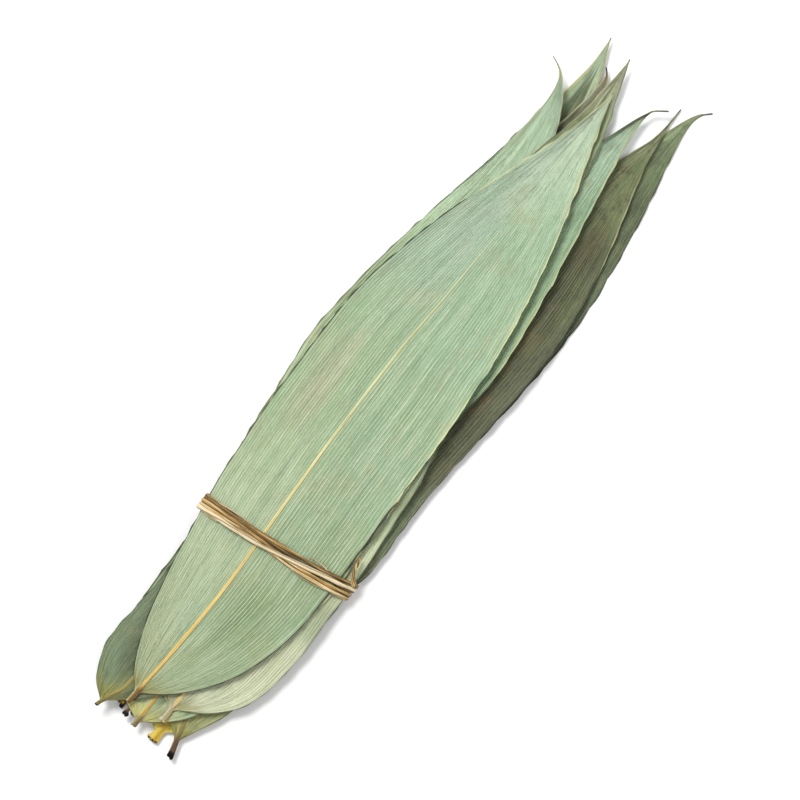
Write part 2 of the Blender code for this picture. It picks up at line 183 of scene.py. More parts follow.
class Shader:
    """A material under construction, with short calls for the nodes that the finishes share."""

    def __init__(self, name: str) -> None:
        """Starts a material with its own Principled BSDF.

        Args:
            name: The material's name.
        """
        self.material = bpy.data.materials.new(name)
        self.material.use_nodes = True
        self.nodes = self.material.node_tree.nodes
        self.links = self.material.node_tree.links

    def feed(self, value: object, socket: Socket) -> None:
        """Links a socket, or sets a constant.

        Args:
            value: A socket, a number or a colour.
            socket: What takes it.
        """
        if isinstance(value, Socket):
            self.links.new(value, socket)
        else:
            socket.default_value = value

    def finish(self, inputs: dict[str, object]) -> bpy.types.Material:
        """Feeds the surface.

        Args:
            inputs: What each of its inputs takes.

        Returns:
            The finished material.
        """
        for name, value in inputs.items():
            self.feed(value, self.nodes["Principled BSDF"].inputs[name])
        return self.material

    def attribute(self, name: str) -> Socket:
        """Reads a number that the mesh stores at each point."""
        node = self.nodes.new("ShaderNodeAttribute")
        node.attribute_name = name
        return node.outputs["Fac"]

    def math(self, operation: str, first: object, second: object = 0.0) -> Socket:
        """Adds a Math node.

        Args:
            operation: Its operation.
            first: Its first value.
            second: Its second value.

        Returns:
            The result.
        """
        node = self.nodes.new("ShaderNodeMath")
        node.operation = operation
        self.feed(first, node.inputs[0])
        self.feed(second, node.inputs[1])
        return node.outputs[0]

    def times(self, first: object, second: object) -> Socket:
        """Multiplies two numbers."""
        return self.math("MULTIPLY", first, second)

    def plus(self, first: object, second: object) -> Socket:
        """Adds two numbers."""
        return self.math("ADD", first, second)

    def apart(self, first: object, second: object) -> Socket:
        """How far two numbers are apart."""
        return self.math("ABSOLUTE", self.math("SUBTRACT", first, second))

    def span(self, value: object, low: float, high: float, top: float = 1.0) -> Socket:
        """Goes smoothly from 0 where the value is low to top where it is high.

        Args:
            value: What is read.
            low: Where the result is 0. It may be the larger one.
            high: Where the result is top.
            top: The largest result.

        Returns:
            The result.
        """
        node = self.nodes.new("ShaderNodeMapRange")
        node.interpolation_type = "SMOOTHSTEP"
        self.feed(value, node.inputs["Value"])
        turned = low > high
        node.inputs["From Min"].default_value = min(low, high)
        node.inputs["From Max"].default_value = max(low, high)
        node.inputs["To Min"].default_value = top if turned else 0.0
        node.inputs["To Max"].default_value = 0.0 if turned else top
        return node.outputs["Result"]

    def stretch(self, value: object, start: float, end: float) -> Socket:
        """1 between start and end, fading to 0 outside them."""
        fade = 0.04
        return self.times(self.span(value, start - fade, start), self.span(value, end + fade, end))

    def vector(self, x: object, y: object, z: object) -> Socket:
        """Joins three numbers."""
        node = self.nodes.new("ShaderNodeCombineXYZ")
        for value, socket in zip((x, y, z), node.inputs):
            self.feed(value, socket)
        return node.outputs[0]

    def noise(self, vector: Socket, scale: float, detail: float, roughness: float) -> Socket:
        """Adds a noise texture.

        Args:
            vector: Where it is read.
            scale: Its scale.
            detail: Its number of finer layers.
            roughness: How strong those are.

        Returns:
            The noise, around 0.5.
        """
        node = self.nodes.new("ShaderNodeTexNoise")
        self.feed(vector, node.inputs["Vector"])
        node.inputs["Scale"].default_value = scale
        node.inputs["Detail"].default_value = detail
        node.inputs["Roughness"].default_value = roughness
        return node.outputs["Fac"]

    def mix(self, factor: object, first: object, second: object, kind: str = "MIX") -> Socket:
        """Mixes two colours.

        Args:
            factor: How much of the second one there is.
            first: The first colour.
            second: The second colour.
            kind: The blend type.

        Returns:
            The mixed colour.
        """
        node = self.nodes.new("ShaderNodeMix")
        node.data_type = "RGBA"
        node.blend_type = kind
        node.clamp_factor = True
        self.feed(factor, node.inputs[0])
        self.feed(first, node.inputs[6])
        self.feed(second, node.inputs[7])
        return node.outputs[2]

    def tint(self, share: object, color: object, other: tuple) -> Socket:
        """Mixes in another colour, given as a screen shows it."""
        return self.mix(share, color, rgb(*other))

    def dim(self, color: object, brightness: float) -> Socket:
        """Multiplies a colour by a brightness."""
        return self.mix(1.0, color, (brightness,) * 3 + (1.0,), "MULTIPLY")

    def ramp(self, value: object, stops: tuple[tuple[float, tuple], ...]) -> Socket:
        """Turns a number into a colour.

        Args:
            value: The number.
            stops: The places and the colours, as a screen shows them, in order.

        Returns:
            The colour.
        """
        node = self.nodes.new("ShaderNodeValToRGB")
        bar = node.color_ramp
        bar.interpolation = "EASE"
        while len(bar.elements) < len(stops):
            bar.elements.new(1.0)
        for element, (place, color) in zip(bar.elements, stops):
            element.position = place
            element.color = rgb(*color)
        self.feed(value, node.inputs["Fac"])
        return node.outputs["Color"]

    def bump(self, height: object, distance: float, below: object = None) -> Socket:
        """Adds fine relief.

        Args:
            height: From 0 to 1.
            distance: How far 1 stands out, in metres.
            below: The relief that this one lies on.

        Returns:
            The bent normal.
        """
        node = self.nodes.new("ShaderNodeBump")
        node.inputs["Strength"].default_value = 1.0
        node.inputs["Distance"].default_value = distance
        self.feed(height, node.inputs["Height"])
        if below is not None:
            self.links.new(below, node.inputs["Normal"])
        return node.outputs["Normal"]


@dataclass(frozen=True)
class StainAndShade:
    """A soft patch of another colour: some are the leaf's own blotches, some are painted shade. Its place and
    size are shares of the half width and of the length.
    """

    across: float
    along: float
    wide: float
    long: float
    color: tuple
    share: float


class LeafShader(Shader):
    """A leaf's material under construction: its colour so far, and the noise that runs along its veins."""

    PATTERNS = {  # how often over a vein's width and along the blade, and the number of finer layers
        "grain": (6.3, 110.0, 2.0),
        "fine": (2.7, 15.0, 3.0),
        "vein": (0.97, 9.0, 2.0),
        "middle": (0.45, 5.0, 3.0),
        "broad": (0.09, 4.5, 3.0),
    }
    PATTERN_ROUGHNESS = 0.55
    PATTERN_STEP = 7  # moves the noise from one pattern to the next

    def __init__(self, name: str, veins: int, seed: float) -> None:
        """Starts the material and its noise patterns.

        Args:
            name: Its name.
            veins: How many veins each half of the blade has.
            seed: Moves the patterns, so that no two leaves are alike.
        """
        super().__init__(name)
        self.place = self.nodes.new("ShaderNodeTexCoord").outputs["Object"]
        self.across = self.attribute("across")
        self.along = self.attribute("along")
        self.wide = self.times(self.across, float(veins))
        self.color = None
        self.read = {}
        for number, (key, (over, length, detail)) in enumerate(self.PATTERNS.items()):
            level = seed + self.PATTERN_STEP * number
            vector = self.vector(self.times(self.wide, over), self.times(self.along, length), level)
            self.read[key] = self.noise(vector, 1.0, detail, self.PATTERN_ROUGHNESS)

    def lay(self, share: object, other: tuple) -> None:
        """Lays a colour, given as a screen shows it, over the colour so far."""
        self.color = self.tint(share, self.color, other)

    def stray(self, value: Socket, key: str, reach: float) -> Socket:
        """Moves a place to and fro with a noise pattern."""
        return self.plus(value, self.times(self.math("SUBTRACT", self.read[key], 0.5), reach))

    def streaks(self, key: str, low: float, high: float, share: float, other: tuple) -> None:
        """Lays streaks along the veins where a noise pattern passes from low to high."""
        self.lay(self.span(self.read[key], low, high, share), other)

    def blots(self, scale: float, detail: float, roughness: float, low: float, high: float) -> Socket:
        """Scattered blots, where a noise passes from low to high."""
        return self.span(self.noise(self.place, scale, detail, roughness), low, high)

    def stain_and_shade(self, stain_and_shade: StainAndShade) -> None:
        """Lays a patch with a ragged edge, of the leaf's own colour or of painted shade.

        Args:
            stain_and_shade: The stain.
        """
        away = self.times(self.read["middle"], 0.8)
        lengthways = (self.along, stain_and_shade.along, stain_and_shade.long)
        for place, middle, reach in ((self.across, stain_and_shade.across, stain_and_shade.wide), lengthways):
            square = self.math("POWER", self.apart(place, middle), 2.0)
            away = self.plus(away, self.math("DIVIDE", square, reach**2))
        self.lay(self.span(away, 1.3, 0.3, stain_and_shade.share), stain_and_shade.color)


@dataclass(frozen=True)
class LeafFinish:
    """A dried bamboo leaf: pale veins on green, a golden midrib, and a margin that dried pale in places and
    carries a painted line of shade elsewhere.
    """

    left: tuple  # colours of the left half, from the base to the tip
    right: tuple
    vein: tuple = (216, 228, 196)
    streak: tuple = (108, 140, 98)
    khaki: tuple = (172, 166, 122)
    khaki_share: float = 0.4
    cool: tuple = (146, 184, 158)
    cool_share: float = 0.25
    gloom: tuple = (112, 132, 96)
    mottled: float = 0.15
    rib_base: tuple = (226, 186, 96)
    rib_tip: tuple = (214, 214, 168)
    rib_end: float = 0.8
    margin: tuple = (214, 212, 166)
    pale_left: tuple = (0.0, 1.0)  # the stretch of the left margin that dried pale
    pale_right: tuple = (0.0, 1.0)
    # painted shade: the colour of the dark shadow line along the margin and inside a rolled margin, and how
    # strong the line is
    painted_edge_shade: tuple = (58, 62, 38)
    painted_edge_shade_share: float = 0.9
    petiole: tuple = (168, 128, 92)
    petiole_dark: tuple = (104, 76, 54)
    petiole_pale: tuple = (206, 180, 132)
    cut_end: tuple = (34, 27, 23)
    cut_reach: float = 1.8  # millimetres, as are the other reaches
    base_tint: tuple = (170, 160, 84)
    base_reach: float = 14.0
    tip: tuple = (164, 156, 104)
    tip_dark: tuple = (84, 72, 58)
    tip_reach: float = 12.0
    # the leaf's own blotches, and patches of painted shade
    stains_and_shades: tuple = ()
    brightness: float = 0.8  # of the whole leaf under the studio's lights
    roughness: float = 0.5
    specular: float = 0.35
    vein_relief: float = 0.00022  # metres, as are the other reliefs
    streak_relief: float = 0.0004
    grain_relief: float = 0.0001

    def material(self, name: str, veins: int, seed: float) -> bpy.types.Material:
        """Makes the leaf's material.

        Args:
            name: Its name.
            veins: How many veins each half of the blade has.
            seed: Moves the patterns, so that no two leaves are alike.

        Returns:
            The material.
        """
        make = LeafShader(name, veins, seed)
        self.lay_blade(make)
        line = self.lay_veins(make)
        self.lay_margin(make)
        self.lay_rib(make)
        self.lay_tip(make)
        self.lay_petiole(make)
        relief = make.bump(line, self.vein_relief)
        relief = make.bump(make.read["fine"], self.streak_relief, relief)
        return make.finish({
            "Base Color": make.dim(make.color, self.brightness),
            "Roughness": make.plus(make.times(make.read["fine"], 0.2), self.roughness - 0.1),
            "Specular IOR Level": self.specular,
            "Normal": make.bump(make.read["grain"], self.grain_relief, relief),
        })

    def lay_blade(self, make: LeafShader) -> None:
        """Lays the blade's own colour with its patches and blotches, and the patches of painted shade among
        them.

        Args:
            make: The material.
        """
        along = make.stray(make.along, "broad", 0.2)
        halves = make.span(make.stray(make.across, "middle", 0.6), -0.35, 0.35)
        make.color = make.mix(halves, make.ramp(along, self.left), make.ramp(along, self.right))
        make.lay(make.times(make.blots(21.0, 3, 0.6, 0.48, 0.64), self.cool_share), self.cool)
        patch = make.times(make.blots(52.0, 5, 0.68, 0.49, 0.63), make.span(make.read["broad"], 0.42, 0.58))
        make.lay(make.times(patch, self.khaki_share), self.khaki)
        # some of these patches are painted shade
        for stain_and_shade in self.stains_and_shades:
            make.stain_and_shade(stain_and_shade)
        make.lay(make.times(make.blots(520.0, 3, 0.7, 0.56, 0.72), 0.3), self.khaki)
        make.lay(make.times(make.blots(900.0, 2, 0.7, 0.56, 0.72), 0.25), self.streak)
        make.lay(make.times(make.blots(75.0, 5, 0.72, 0.5, 0.66), self.mottled), self.gloom)

    def lay_veins(self, make: LeafShader) -> Socket:
        """Draws the veins, painted shade in the grooves beside them, and the streaks that run along them.

        Args:
            make: The material.

        Returns:
            How near each point is to a vein.
        """
        plain = make.color
        wave = make.math("FRACT", make.plus(make.wide, 100.0))  # moved on, so that it is never negative
        strong = make.plus(make.span(make.read["vein"], 0.36, 0.6, 0.75), 0.25)
        line = make.times(make.span(make.times(make.apart(wave, 0.5), 2.0), 0.62, 0.92), strong)
        # painted shade in the groove beside each vein
        groove = make.times(make.span(wave, 0.08, 0.2), make.span(wave, 0.5, 0.22))
        make.streaks("middle", 0.5, 0.66, 0.35, self.streak)
        make.streaks("middle", 0.48, 0.34, 0.2, self.vein)
        make.streaks("fine", 0.54, 0.64, 0.42, self.streak)
        make.streaks("fine", 0.46, 0.36, 0.35, self.vein)
        make.lay(make.times(groove, 0.55), self.streak)
        make.lay(make.times(line, 0.95), self.vein)
        make.streaks("grain", 0.53, 0.7, 0.3, self.streak)
        make.streaks("grain", 0.46, 0.3, 0.25, self.vein)
        merged = make.span(make.along, 0.86, 0.98, 0.65)  # where the veins run together
        make.color = make.mix(merged, make.color, plain)
        return line

    def lay_margin(self, make: LeafShader) -> None:
        """Lays the tinted base, the margin, a painted line of shade along the margin, and painted shade
        inside a rolled margin.

        Args:
            make: The material.
        """
        edge = make.attribute("from_edge")
        base = make.span(make.attribute("from_foot"), self.base_reach, 2.0, 0.8)
        make.lay(make.times(base, make.span(make.read["middle"], 0.2, 0.65)), self.base_tint)
        right = make.math("GREATER_THAN", make.across, 0.0)
        pale = make.times(right, make.stretch(make.along, *self.pale_right))
        left = make.apart(1.0, right)
        pale = make.plus(pale, make.times(left, make.stretch(make.along, *self.pale_left)))
        dry = make.times(make.span(edge, 4.0, 0.5), make.span(make.read["broad"], 0.42, 0.6, 0.4))
        make.lay(make.times(dry, pale), self.margin)
        rim = make.times(make.span(edge, 0.75, 0.35), make.span(make.read["vein"], 0.3, 0.5))
        make.lay(make.times(rim, pale), self.margin)
        # painted shade: a dark shadow line along the margin, wherever it did not dry pale
        dark = make.apart(1.0, make.times(pale, 0.95))
        make.lay(make.times(make.span(edge, 0.7, 0.3, self.painted_edge_shade_share), dark), self.painted_edge_shade)
        # painted shade inside a rolled margin
        make.lay(make.span(make.attribute("rolled"), 0.2, 0.9, 0.75), self.painted_edge_shade)

    def lay_rib(self, make: LeafShader) -> None:
        """Lays the midrib: orange on its left flank, cream on top that is partly its own pale colour and
        partly a painted highlight, and a painted brown shadow along its right flank.

        Args:
            make: The material.
        """
        rib = make.attribute("from_rib")
        beside = make.attribute("beside_rib")
        shown = make.span(make.along, self.rib_end, self.rib_end - 0.25)
        faint = make.plus(make.times(shown, 0.8), 0.2)
        # painted shadow of the raised midrib along its right flank
        shade = make.times(make.span(beside, 1.9, 1.15), make.span(beside, 0.65, 1.0, 0.6))
        make.lay(make.times(shade, shown), self.petiole_dark)
        golden = make.ramp(make.along, ((0.0, self.rib_base), (0.12, self.rib_base), (0.55, self.rib_tip)))
        # cream over the middle and right of the midrib: partly its own pale colour, partly a painted
        # highlight
        cream = make.tint(make.span(make.along, 0.02, 0.35, 0.8), golden, self.petiole_pale)
        golden = make.mix(make.span(beside, -0.3, 0.1), golden, cream)
        golden = make.tint(make.span(make.read["fine"], 0.54, 0.7, 0.4), golden, self.petiole)
        make.color = make.mix(make.times(make.span(rib, 1.1, 0.8), faint), make.color, golden)

    def lay_tip(self, make: LeafShader) -> None:
        """Dries the tip to its own colour, and its last few millimetres to a darker one.

        Args:
            make: The material.
        """
        tip = make.plus(make.attribute("from_tip"), make.times(make.read["middle"], 6.0))
        make.lay(make.span(tip, self.tip_reach + 3, 3.0, 0.8), self.tip)
        make.lay(make.span(tip, 0.45 * self.tip_reach + 3, 3.0), self.tip_dark)

    def lay_petiole(self, make: LeafShader) -> None:
        """Lays the petiole, pale along one edge, with its cut end.

        Args:
            make: The material.
        """
        rib = make.attribute("beside_rib")
        bark = make.tint(make.span(make.read["fine"], 0.4, 0.6), rgb(*self.petiole), self.petiole_dark)
        bark = make.tint(make.span(rib, -0.9, -1.6, 0.9), bark, self.petiole_pale)
        bark = make.tint(make.span(rib, 0.7, 1.3, 0.4), bark, self.petiole_dark)
        narrow = make.plus(make.attribute("from_foot"), make.math("ABSOLUTE", rib))
        make.color = make.mix(make.span(narrow, 7.0, 1.0), make.color, bark)
        ragged = make.plus(make.attribute("from_end"), make.times(make.read["fine"], 3.0))
        make.lay(make.span(ragged, self.cut_reach + 1.8, self.cut_reach + 0.8), self.cut_end)


@dataclass(frozen=True)
class StrawFinish:
    """A dried and twisted rush stalk, from pale straw to brown, streaked along its fibres, with painted shade
    in the grooves between its plies and along its flanks.
    """

    pale: tuple = (246, 226, 184)
    golden: tuple = (212, 172, 104)
    brown: tuple = (136, 108, 62)
    # the darkest straw, also used as the painted shade in the grooves and along the flanks
    dark: tuple = (50, 38, 22)
    brightness: float = 0.88
    roughness: float = 0.55
    specular: float = 0.3
    relief: float = 0.0005  # metres

    def material(self, name: str, seed: float, age: float) -> bpy.types.Material:
        """Makes the strand's material.

        Args:
            name: Its name.
            seed: Moves the pattern.
            age: From 0, all pale, to 1, mostly brown.

        Returns:
            The material.
        """
        make = Shader(name)
        around = make.attribute("around")
        along = make.attribute("along")
        narrow = make.vector(make.times(around, 13.0), make.times(along, 60.0), seed)
        fibre = make.noise(narrow, 1.0, 3, 0.6)
        broad = make.vector(make.times(around, 1.5), make.times(along, 45.0), seed + 5)
        patch = make.noise(broad, 1.0, 2, 0.5)
        tone = make.plus(make.times(fibre, 0.75), make.times(patch, 0.45))
        tone = make.plus(tone, age * 0.36 - 0.24)
        stops = ((0.4, self.pale), (0.55, self.golden), (0.68, self.brown), (0.84, self.dark))
        color = make.ramp(tone, stops)
        # painted shade in the grooves between the two plies
        color = make.tint(make.times(make.attribute("groove"), 0.85), color, self.dark)
        # painted shade along both flanks, where the turns press against each other
        color = make.tint(make.span(make.apart(around, 0.5), 0.3, 0.46, 0.75), color, self.dark)
        color = make.tint(make.span(fibre, 0.6, 0.7, 0.7), color, self.dark)
        return make.finish({
            "Base Color": make.dim(color, self.brightness),
            "Roughness": self.roughness,
            "Specular IOR Level": self.specular,
            "Normal": make.bump(fibre, self.relief),
        })


@dataclass(frozen=True)
class Half:
    """One half of a blade, from midrib to margin. Places and lengths are shares of the blade's length."""

    width: float  # in millimetres
    widest: float = 0.42
    fullness: float = 1.9  # how long it stays wide towards the tip
    roundness: float = 5.5  # and towards the base
    waist: float = 0.0  # how much it draws in below the tie
    swell: float = 0.0  # how much it bulges, or draws in, above the tie
    swell_place: float = 0.325
    swell_length: float = 0.055
    sharpness: float = 1.15  # of its tip
    bluntness: float = 1.0  # of its base, less than 1 being blunter


@dataclass(frozen=True)
class Roll:
    """A stretch of margin that curled up and inwards as the leaf dried. Its ends are shares of the blade."""

    side: Side
    start: float
    end: float
    width: float
    angle: float = 150.0


@dataclass(frozen=True)
class Lift:
    """A stretch of margin that stands clear of what lies below it, from reach millimetres in."""

    side: Side
    start: float
    end: float
    height: float
    reach: float = 9.0


@dataclass(frozen=True)
class Stalk:
    """The cut petiole: half its width where it meets the blade and at its end, its thickness and its cut."""

    joint: float = 1.3
    end: float = 1.4
    thickness: float = 1.4
    ragged: float = 0.35
    trim: float = 0.0  # how much shorter it was cut than its solid


@dataclass(frozen=True)
class LeafPlan:
    """One leaf seen from above, in millimetres from the top leaf's foot."""

    node: str
    slot: str
    finish: LeafFinish
    seed: int
    petiole: float  # its length
    spine: tuple  # places along, and how far across each one is
    left: Half
    right: Half
    rolls: tuple = ()
    lifts: tuple = ()
    stalk: Stalk = Stalk()
    rows: int = 120


class RestingPlace:
    """The height of what the next leaf comes to lie on, cell by cell. Sizes are in millimetres."""

    CELL = 1.0
    LOW = np.array([-75.0, -245.0])
    HIGH = np.array([75.0, 245.0])
    PARTS = 5  # places between two rows that a surface is read at

    def __init__(self, level: float = 0.0) -> None:
        """Starts with a level surface.

        Args:
            level: Its height.
        """
        shape = ((self.HIGH - self.LOW) / self.CELL).astype(int) + 1
        self.top = np.full(tuple(shape), level)

    def cells(self, x: np.ndarray, y: np.ndarray) -> tuple[np.ndarray, np.ndarray]:
        """The cells that the points are in."""
        columns = np.rint((x - self.LOW[0]) / self.CELL).astype(int)
        rows = np.rint((y - self.LOW[1]) / self.CELL).astype(int)
        return columns, rows

    def under(self, x: np.ndarray, y: np.ndarray) -> np.ndarray:
        """The highest point of each place's cell and of those round it.

        Args:
            x: Places across.
            y: Places along.

        Returns:
            The heights.
        """
        padded = np.pad(self.top, 1, mode="edge")
        rows, columns = self.top.shape
        around = [padded[i : i + rows, j : j + columns] for i in range(3) for j in range(3)]
        return np.max(around, axis=0)[self.cells(x, y)]

    def cover(self, x: np.ndarray, y: np.ndarray, z: np.ndarray) -> None:
        """Lays a surface on the place.

        Args:
            x: The surface's points across.
            y: The surface's points along.
            z: Their heights.
        """
        for part in range(self.PARTS):
            share = part / self.PARTS
            points = [(1 - share) * values[:-1] + share * values[1:] for values in (x, y, z)]
            np.maximum.at(self.top, self.cells(points[0], points[1]), points[2])


class BambooLeaf:
    """One dried bamboo leaf, from its cut petiole to its pointed tip. Sizes are in millimetres."""

    BLADE_THICKNESS = 0.3
    SOLID_THICKNESS = 0.45
    SOLID_COLUMNS = 7
    SOLID_READ = (0, 1, 3, 5, 6)  # its margins, its midrib and the columns halfway
    SOLID_PLACES = np.array([-1.0, -0.5, 0.0, 0.5, 1.0])
    SAME_PLACE = 0.02
    TIP_HALF_WIDTH = 0.35
    WAIST_PLACE = 0.15
    WAIST_LENGTH = 0.12
    END_FLARE = 0.06  # of the petiole's cut end
    FLARE_LENGTH = 1.2
    SPLINTERS = 2.0  # how far in its cut end is ragged
    RIB_HALF_WIDTH = 0.8
    RIB_SHARE = 0.3  # of half the blade's width, at the most
    RIB_FOOT = 1.6  # how far out its foot reaches, in its half widths
    RIB_POINTEDNESS = 1.5
    RIB_TAPER = 0.72
    RIB_HEIGHT = 0.35
    VEIN_SPACING = 1.9
    VEIN_HEIGHT = 0.07
    VEINS_START = 30.0  # over which the veins and ripples come up from the foot
    VEINS_STOP = 0.05  # and the share of the blade over which they fade to the tip
    VEIN_COLUMNS = 3  # of points, for each vein
    PETIOLE_ROWS = (6, 2)  # at the least, and in each millimetre
    RIB_COLUMNS = np.array([0.5, 1.0, 1.6])  # in half widths of the midrib
    RIM_COLUMNS = np.array([1.0, 0.55, 0.2, 0.0])  # in from the margin
    FULL_HALF_WIDTH = 8.0  # where the rim and the crinkle have their full size
    RIPPLES = 7
    RIPPLE = 0.28
    RIPPLES_ACROSS = (1.5, 6.0)  # how many fit in the leaf's width, the fewest and the most
    RIPPLES_ALONG = (0.7, 4.0)
    PETIOLE_HALF_WIDTH = 1.7
    PETIOLE_HEIGHT = 0.7
    PETIOLE_REACH = 18.0  # over which its rounded back sinks into the blade
    PETIOLE_FADE = (-10.0, 1.0)  # where its thickness has become the blade's, and where it is whole
    CLEARANCE = 0.12
    ROW_CROWDING = 0.5
    TIE_PLACE = 112.0
    TIE_GRIP = 16.0
    MARGIN_REACH = 6.0
    LEAST_ROLL = 0.05
    ROLL_FADE = 0.05
    LIFT_FADES = (0.08, 0.06)
    # Random waves: their height, their shortest and longest length as shares of the blade, and their number.
    OUTLINE_WAVES = (0.004, (0.05, 0.16), 4)
    SPINE_WAVES = (0.12, (0.07, 0.25), 5)
    CRINKLE_WAVES = (0.32, (0.02, 0.06), 5)
    ROLL_WAVES = (0.25, (0.05, 0.15), 3)
    MARGIN_WAVES = (1.0, (0.05, 0.3), 6)
    MARGIN_WAVE = 0.5
    MARGIN_STEEPNESS = 2
    LIFT_STEEPNESS = 1.6
    SPINE_FADE = 0.1  # the share of the blade over which the spine starts to wobble
    SETTLING = (12, 3, 2)  # rounds, the blurs in each one, and those at the end
    RISING = (3, 2)

    def __init__(self, plan: LeafPlan, solid: Piece) -> None:
        """Lays out the leaf's grid of points.

        Args:
            plan: Its outline and looks.
            solid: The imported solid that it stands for.
        """
        self.plan = plan
        self.random = np.random.default_rng(plan.seed)
        self.veins = int(round(max(plan.left.width, plan.right.width) / self.VEIN_SPACING))
        self.read_solid(solid)
        self.lay_rows()
        self.lay_columns()
        self.shape()

    def read_solid(self, solid: Piece) -> None:
        """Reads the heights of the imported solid's blade, row by row from its petiole to its tip.

        Args:
            solid: The solid.
        """
        points = np.empty(len(solid.data.vertices) * 3)
        solid.data.vertices.foreach_get("co", points)
        points = np.unique((points.reshape(-1, 3) / MM).round(3), axis=0)
        found_y, found_heights = [], []
        for place in np.unique(points[:, 1].round(2)):
            row = points[np.abs(points[:, 1] - place) < self.SAME_PLACE]
            across = np.unique(row[:, 0].round(2))
            if len(across) != self.SOLID_COLUMNS:
                continue
            if not found_y:
                self.foot_x = (across[0] + across[-1]) / 2
            heights = []
            for x in across[list(self.SOLID_READ)]:
                z = row[np.abs(row[:, 0] - x) < self.SAME_PLACE][:, 2]
                heights.append(self.SOLID_THICKNESS + (z.min() if len(z) > 1 else 0.0))
            found_y.append(place)
            found_heights.append(heights)
        self.solid_y = np.array(found_y)
        self.solid_heights = np.array(found_heights)

    def waves(self, height: float, lengths: tuple[float, float], count: int) -> np.ndarray:
        """Smooth random waves along the leaf.

        Args:
            height: About how high they are.
            lengths: Their shortest and longest length.
            count: How many are added up.

        Returns:
            The waves at each row.
        """
        total = np.zeros_like(self.share)
        for _ in range(count):
            length = self.random.uniform(*lengths)
            total += np.sin(2 * np.pi * (self.share / length + self.random.random()))
        return height * (total / math.sqrt(count))

    def half_width(self, half: Half) -> np.ndarray:
        """Half the blade's width at each row: round at the base, then a long narrowing to the tip.

        Args:
            half: Its shape.

        Returns:
            The half widths.
        """
        to_base = np.clip(1 - self.share / half.widest, 0, 1)
        to_tip = np.clip((self.share - half.widest) / (1 - half.widest), 0, 1)
        waist = half.waist * bell(self.share - self.WAIST_PLACE, self.WAIST_LENGTH)
        swell = half.swell * bell(self.share - half.swell_place, half.swell_length)
        width = half.width * (1 - to_base**half.roundness) ** half.bluntness * (1 - waist + swell)
        width *= (1 - to_tip**half.fullness) ** half.sharpness
        width *= 1 + self.waves(*self.OUTLINE_WAVES)
        stalk = self.plan.stalk
        down = np.clip(-self.from_foot / self.plan.petiole, 0, 1)
        flare = self.END_FLARE * bell(self.from_end, self.FLARE_LENGTH)
        petiole = (stalk.joint + (stalk.end - stalk.joint) * down) * (1 + flare)
        least = np.where(self.share > half.widest, self.TIP_HALF_WIDTH, petiole)
        return np.maximum(width, least)

    def lay_rows(self) -> None:
        """Places the rows along the spine."""
        plan = self.plan
        spine = np.array(plan.spine)
        first, last = spine[0, 0] + plan.stalk.trim, spine[-1, 0]
        foot = spine[0, 0] + plan.petiole
        steps = np.linspace(0, 1, plan.rows)
        crowded = steps - self.ROW_CROWDING * np.sin(2 * np.pi * steps) / (2 * np.pi)
        least, each = self.PETIOLE_ROWS
        stalk = np.linspace(first, foot, max(least, int(each * (foot - first))), endpoint=False)
        rows = np.concatenate([stalk, foot + (last - foot) * crowded])
        self.share = np.clip((rows - foot) / (last - foot), 0, 1)
        self.from_foot = rows - foot
        self.from_end = rows - first
        self.from_tip = last - rows
        self.foot = (self.foot_x - spine[0, 1], self.solid_y[0] - spine[0, 0])
        self.rows = rows + self.foot[1]
        self.spine = smooth_curve(spine[:, 0], spine[:, 1], rows) + self.foot[0]
        self.spine += self.waves(*self.SPINE_WAVES) * rise(self.share, 0.0, self.SPINE_FADE)

    def lay_columns(self) -> None:
        """Places the columns on both sides of the spine, and measures each point from the leaf's parts."""
        left, right = self.half_width(self.plan.left), self.half_width(self.plan.right)
        narrow = np.minimum(left, right)
        rib = np.minimum(self.RIB_HALF_WIDTH * (1 - self.RIB_TAPER * self.share), self.RIB_SHARE * narrow)
        inner = np.linspace(0, 1, self.VEIN_COLUMNS * self.veins + 1)[1:-1]
        sides = []
        for half in (left, right):
            close = self.RIB_COLUMNS[None, :] * rib[:, None]
            full = np.minimum(1, half / self.FULL_HALF_WIDTH)
            crinkled = half + self.waves(*self.CRINKLE_WAVES) * full**2
            edges = crinkled[:, None] - self.RIM_COLUMNS[None, :] * full[:, None]
            start, end = close[:, -1:], edges[:, :1]
            sides.append(np.concatenate([close, start + (end - start) * inner[None, :], edges], axis=1))
        middle = np.zeros((len(self.rows), 1))
        offset = np.concatenate([-sides[0][:, ::-1], middle, sides[1]], axis=1)
        width = np.where(offset < 0, left[:, None], right[:, None])
        self.t = offset / width
        self.from_edge = width - np.abs(offset)
        self.beside_rib = offset / (rib[:, None] / self.RIB_HALF_WIDTH + 1e-6)
        self.from_rib = np.abs(self.beside_rib)
        self.x = self.spine[:, None] + offset
        splinters = np.abs(self.random.normal(0, self.plan.stalk.ragged, self.x.shape[1]))
        near_end = np.clip(1 - self.from_end / self.SPLINTERS, 0, 1)
        self.y = self.rows[:, None] - near_end[:, None] * splinters[None, :]

    def ripples(self) -> np.ndarray:
        """The dried blade's shallow ripples.

        Returns:
            Their height at each point, the widest ones being the highest.
        """
        total = np.zeros_like(self.t)
        for _ in range(self.RIPPLES):
            across = self.random.uniform(*self.RIPPLES_ACROSS)
            along = self.random.uniform(*self.RIPPLES_ALONG)
            phase = across * self.t / 2 + along * self.share[:, None] + self.random.random()
            total += np.sin(2 * np.pi * phase) / across
        return self.RIPPLE * total

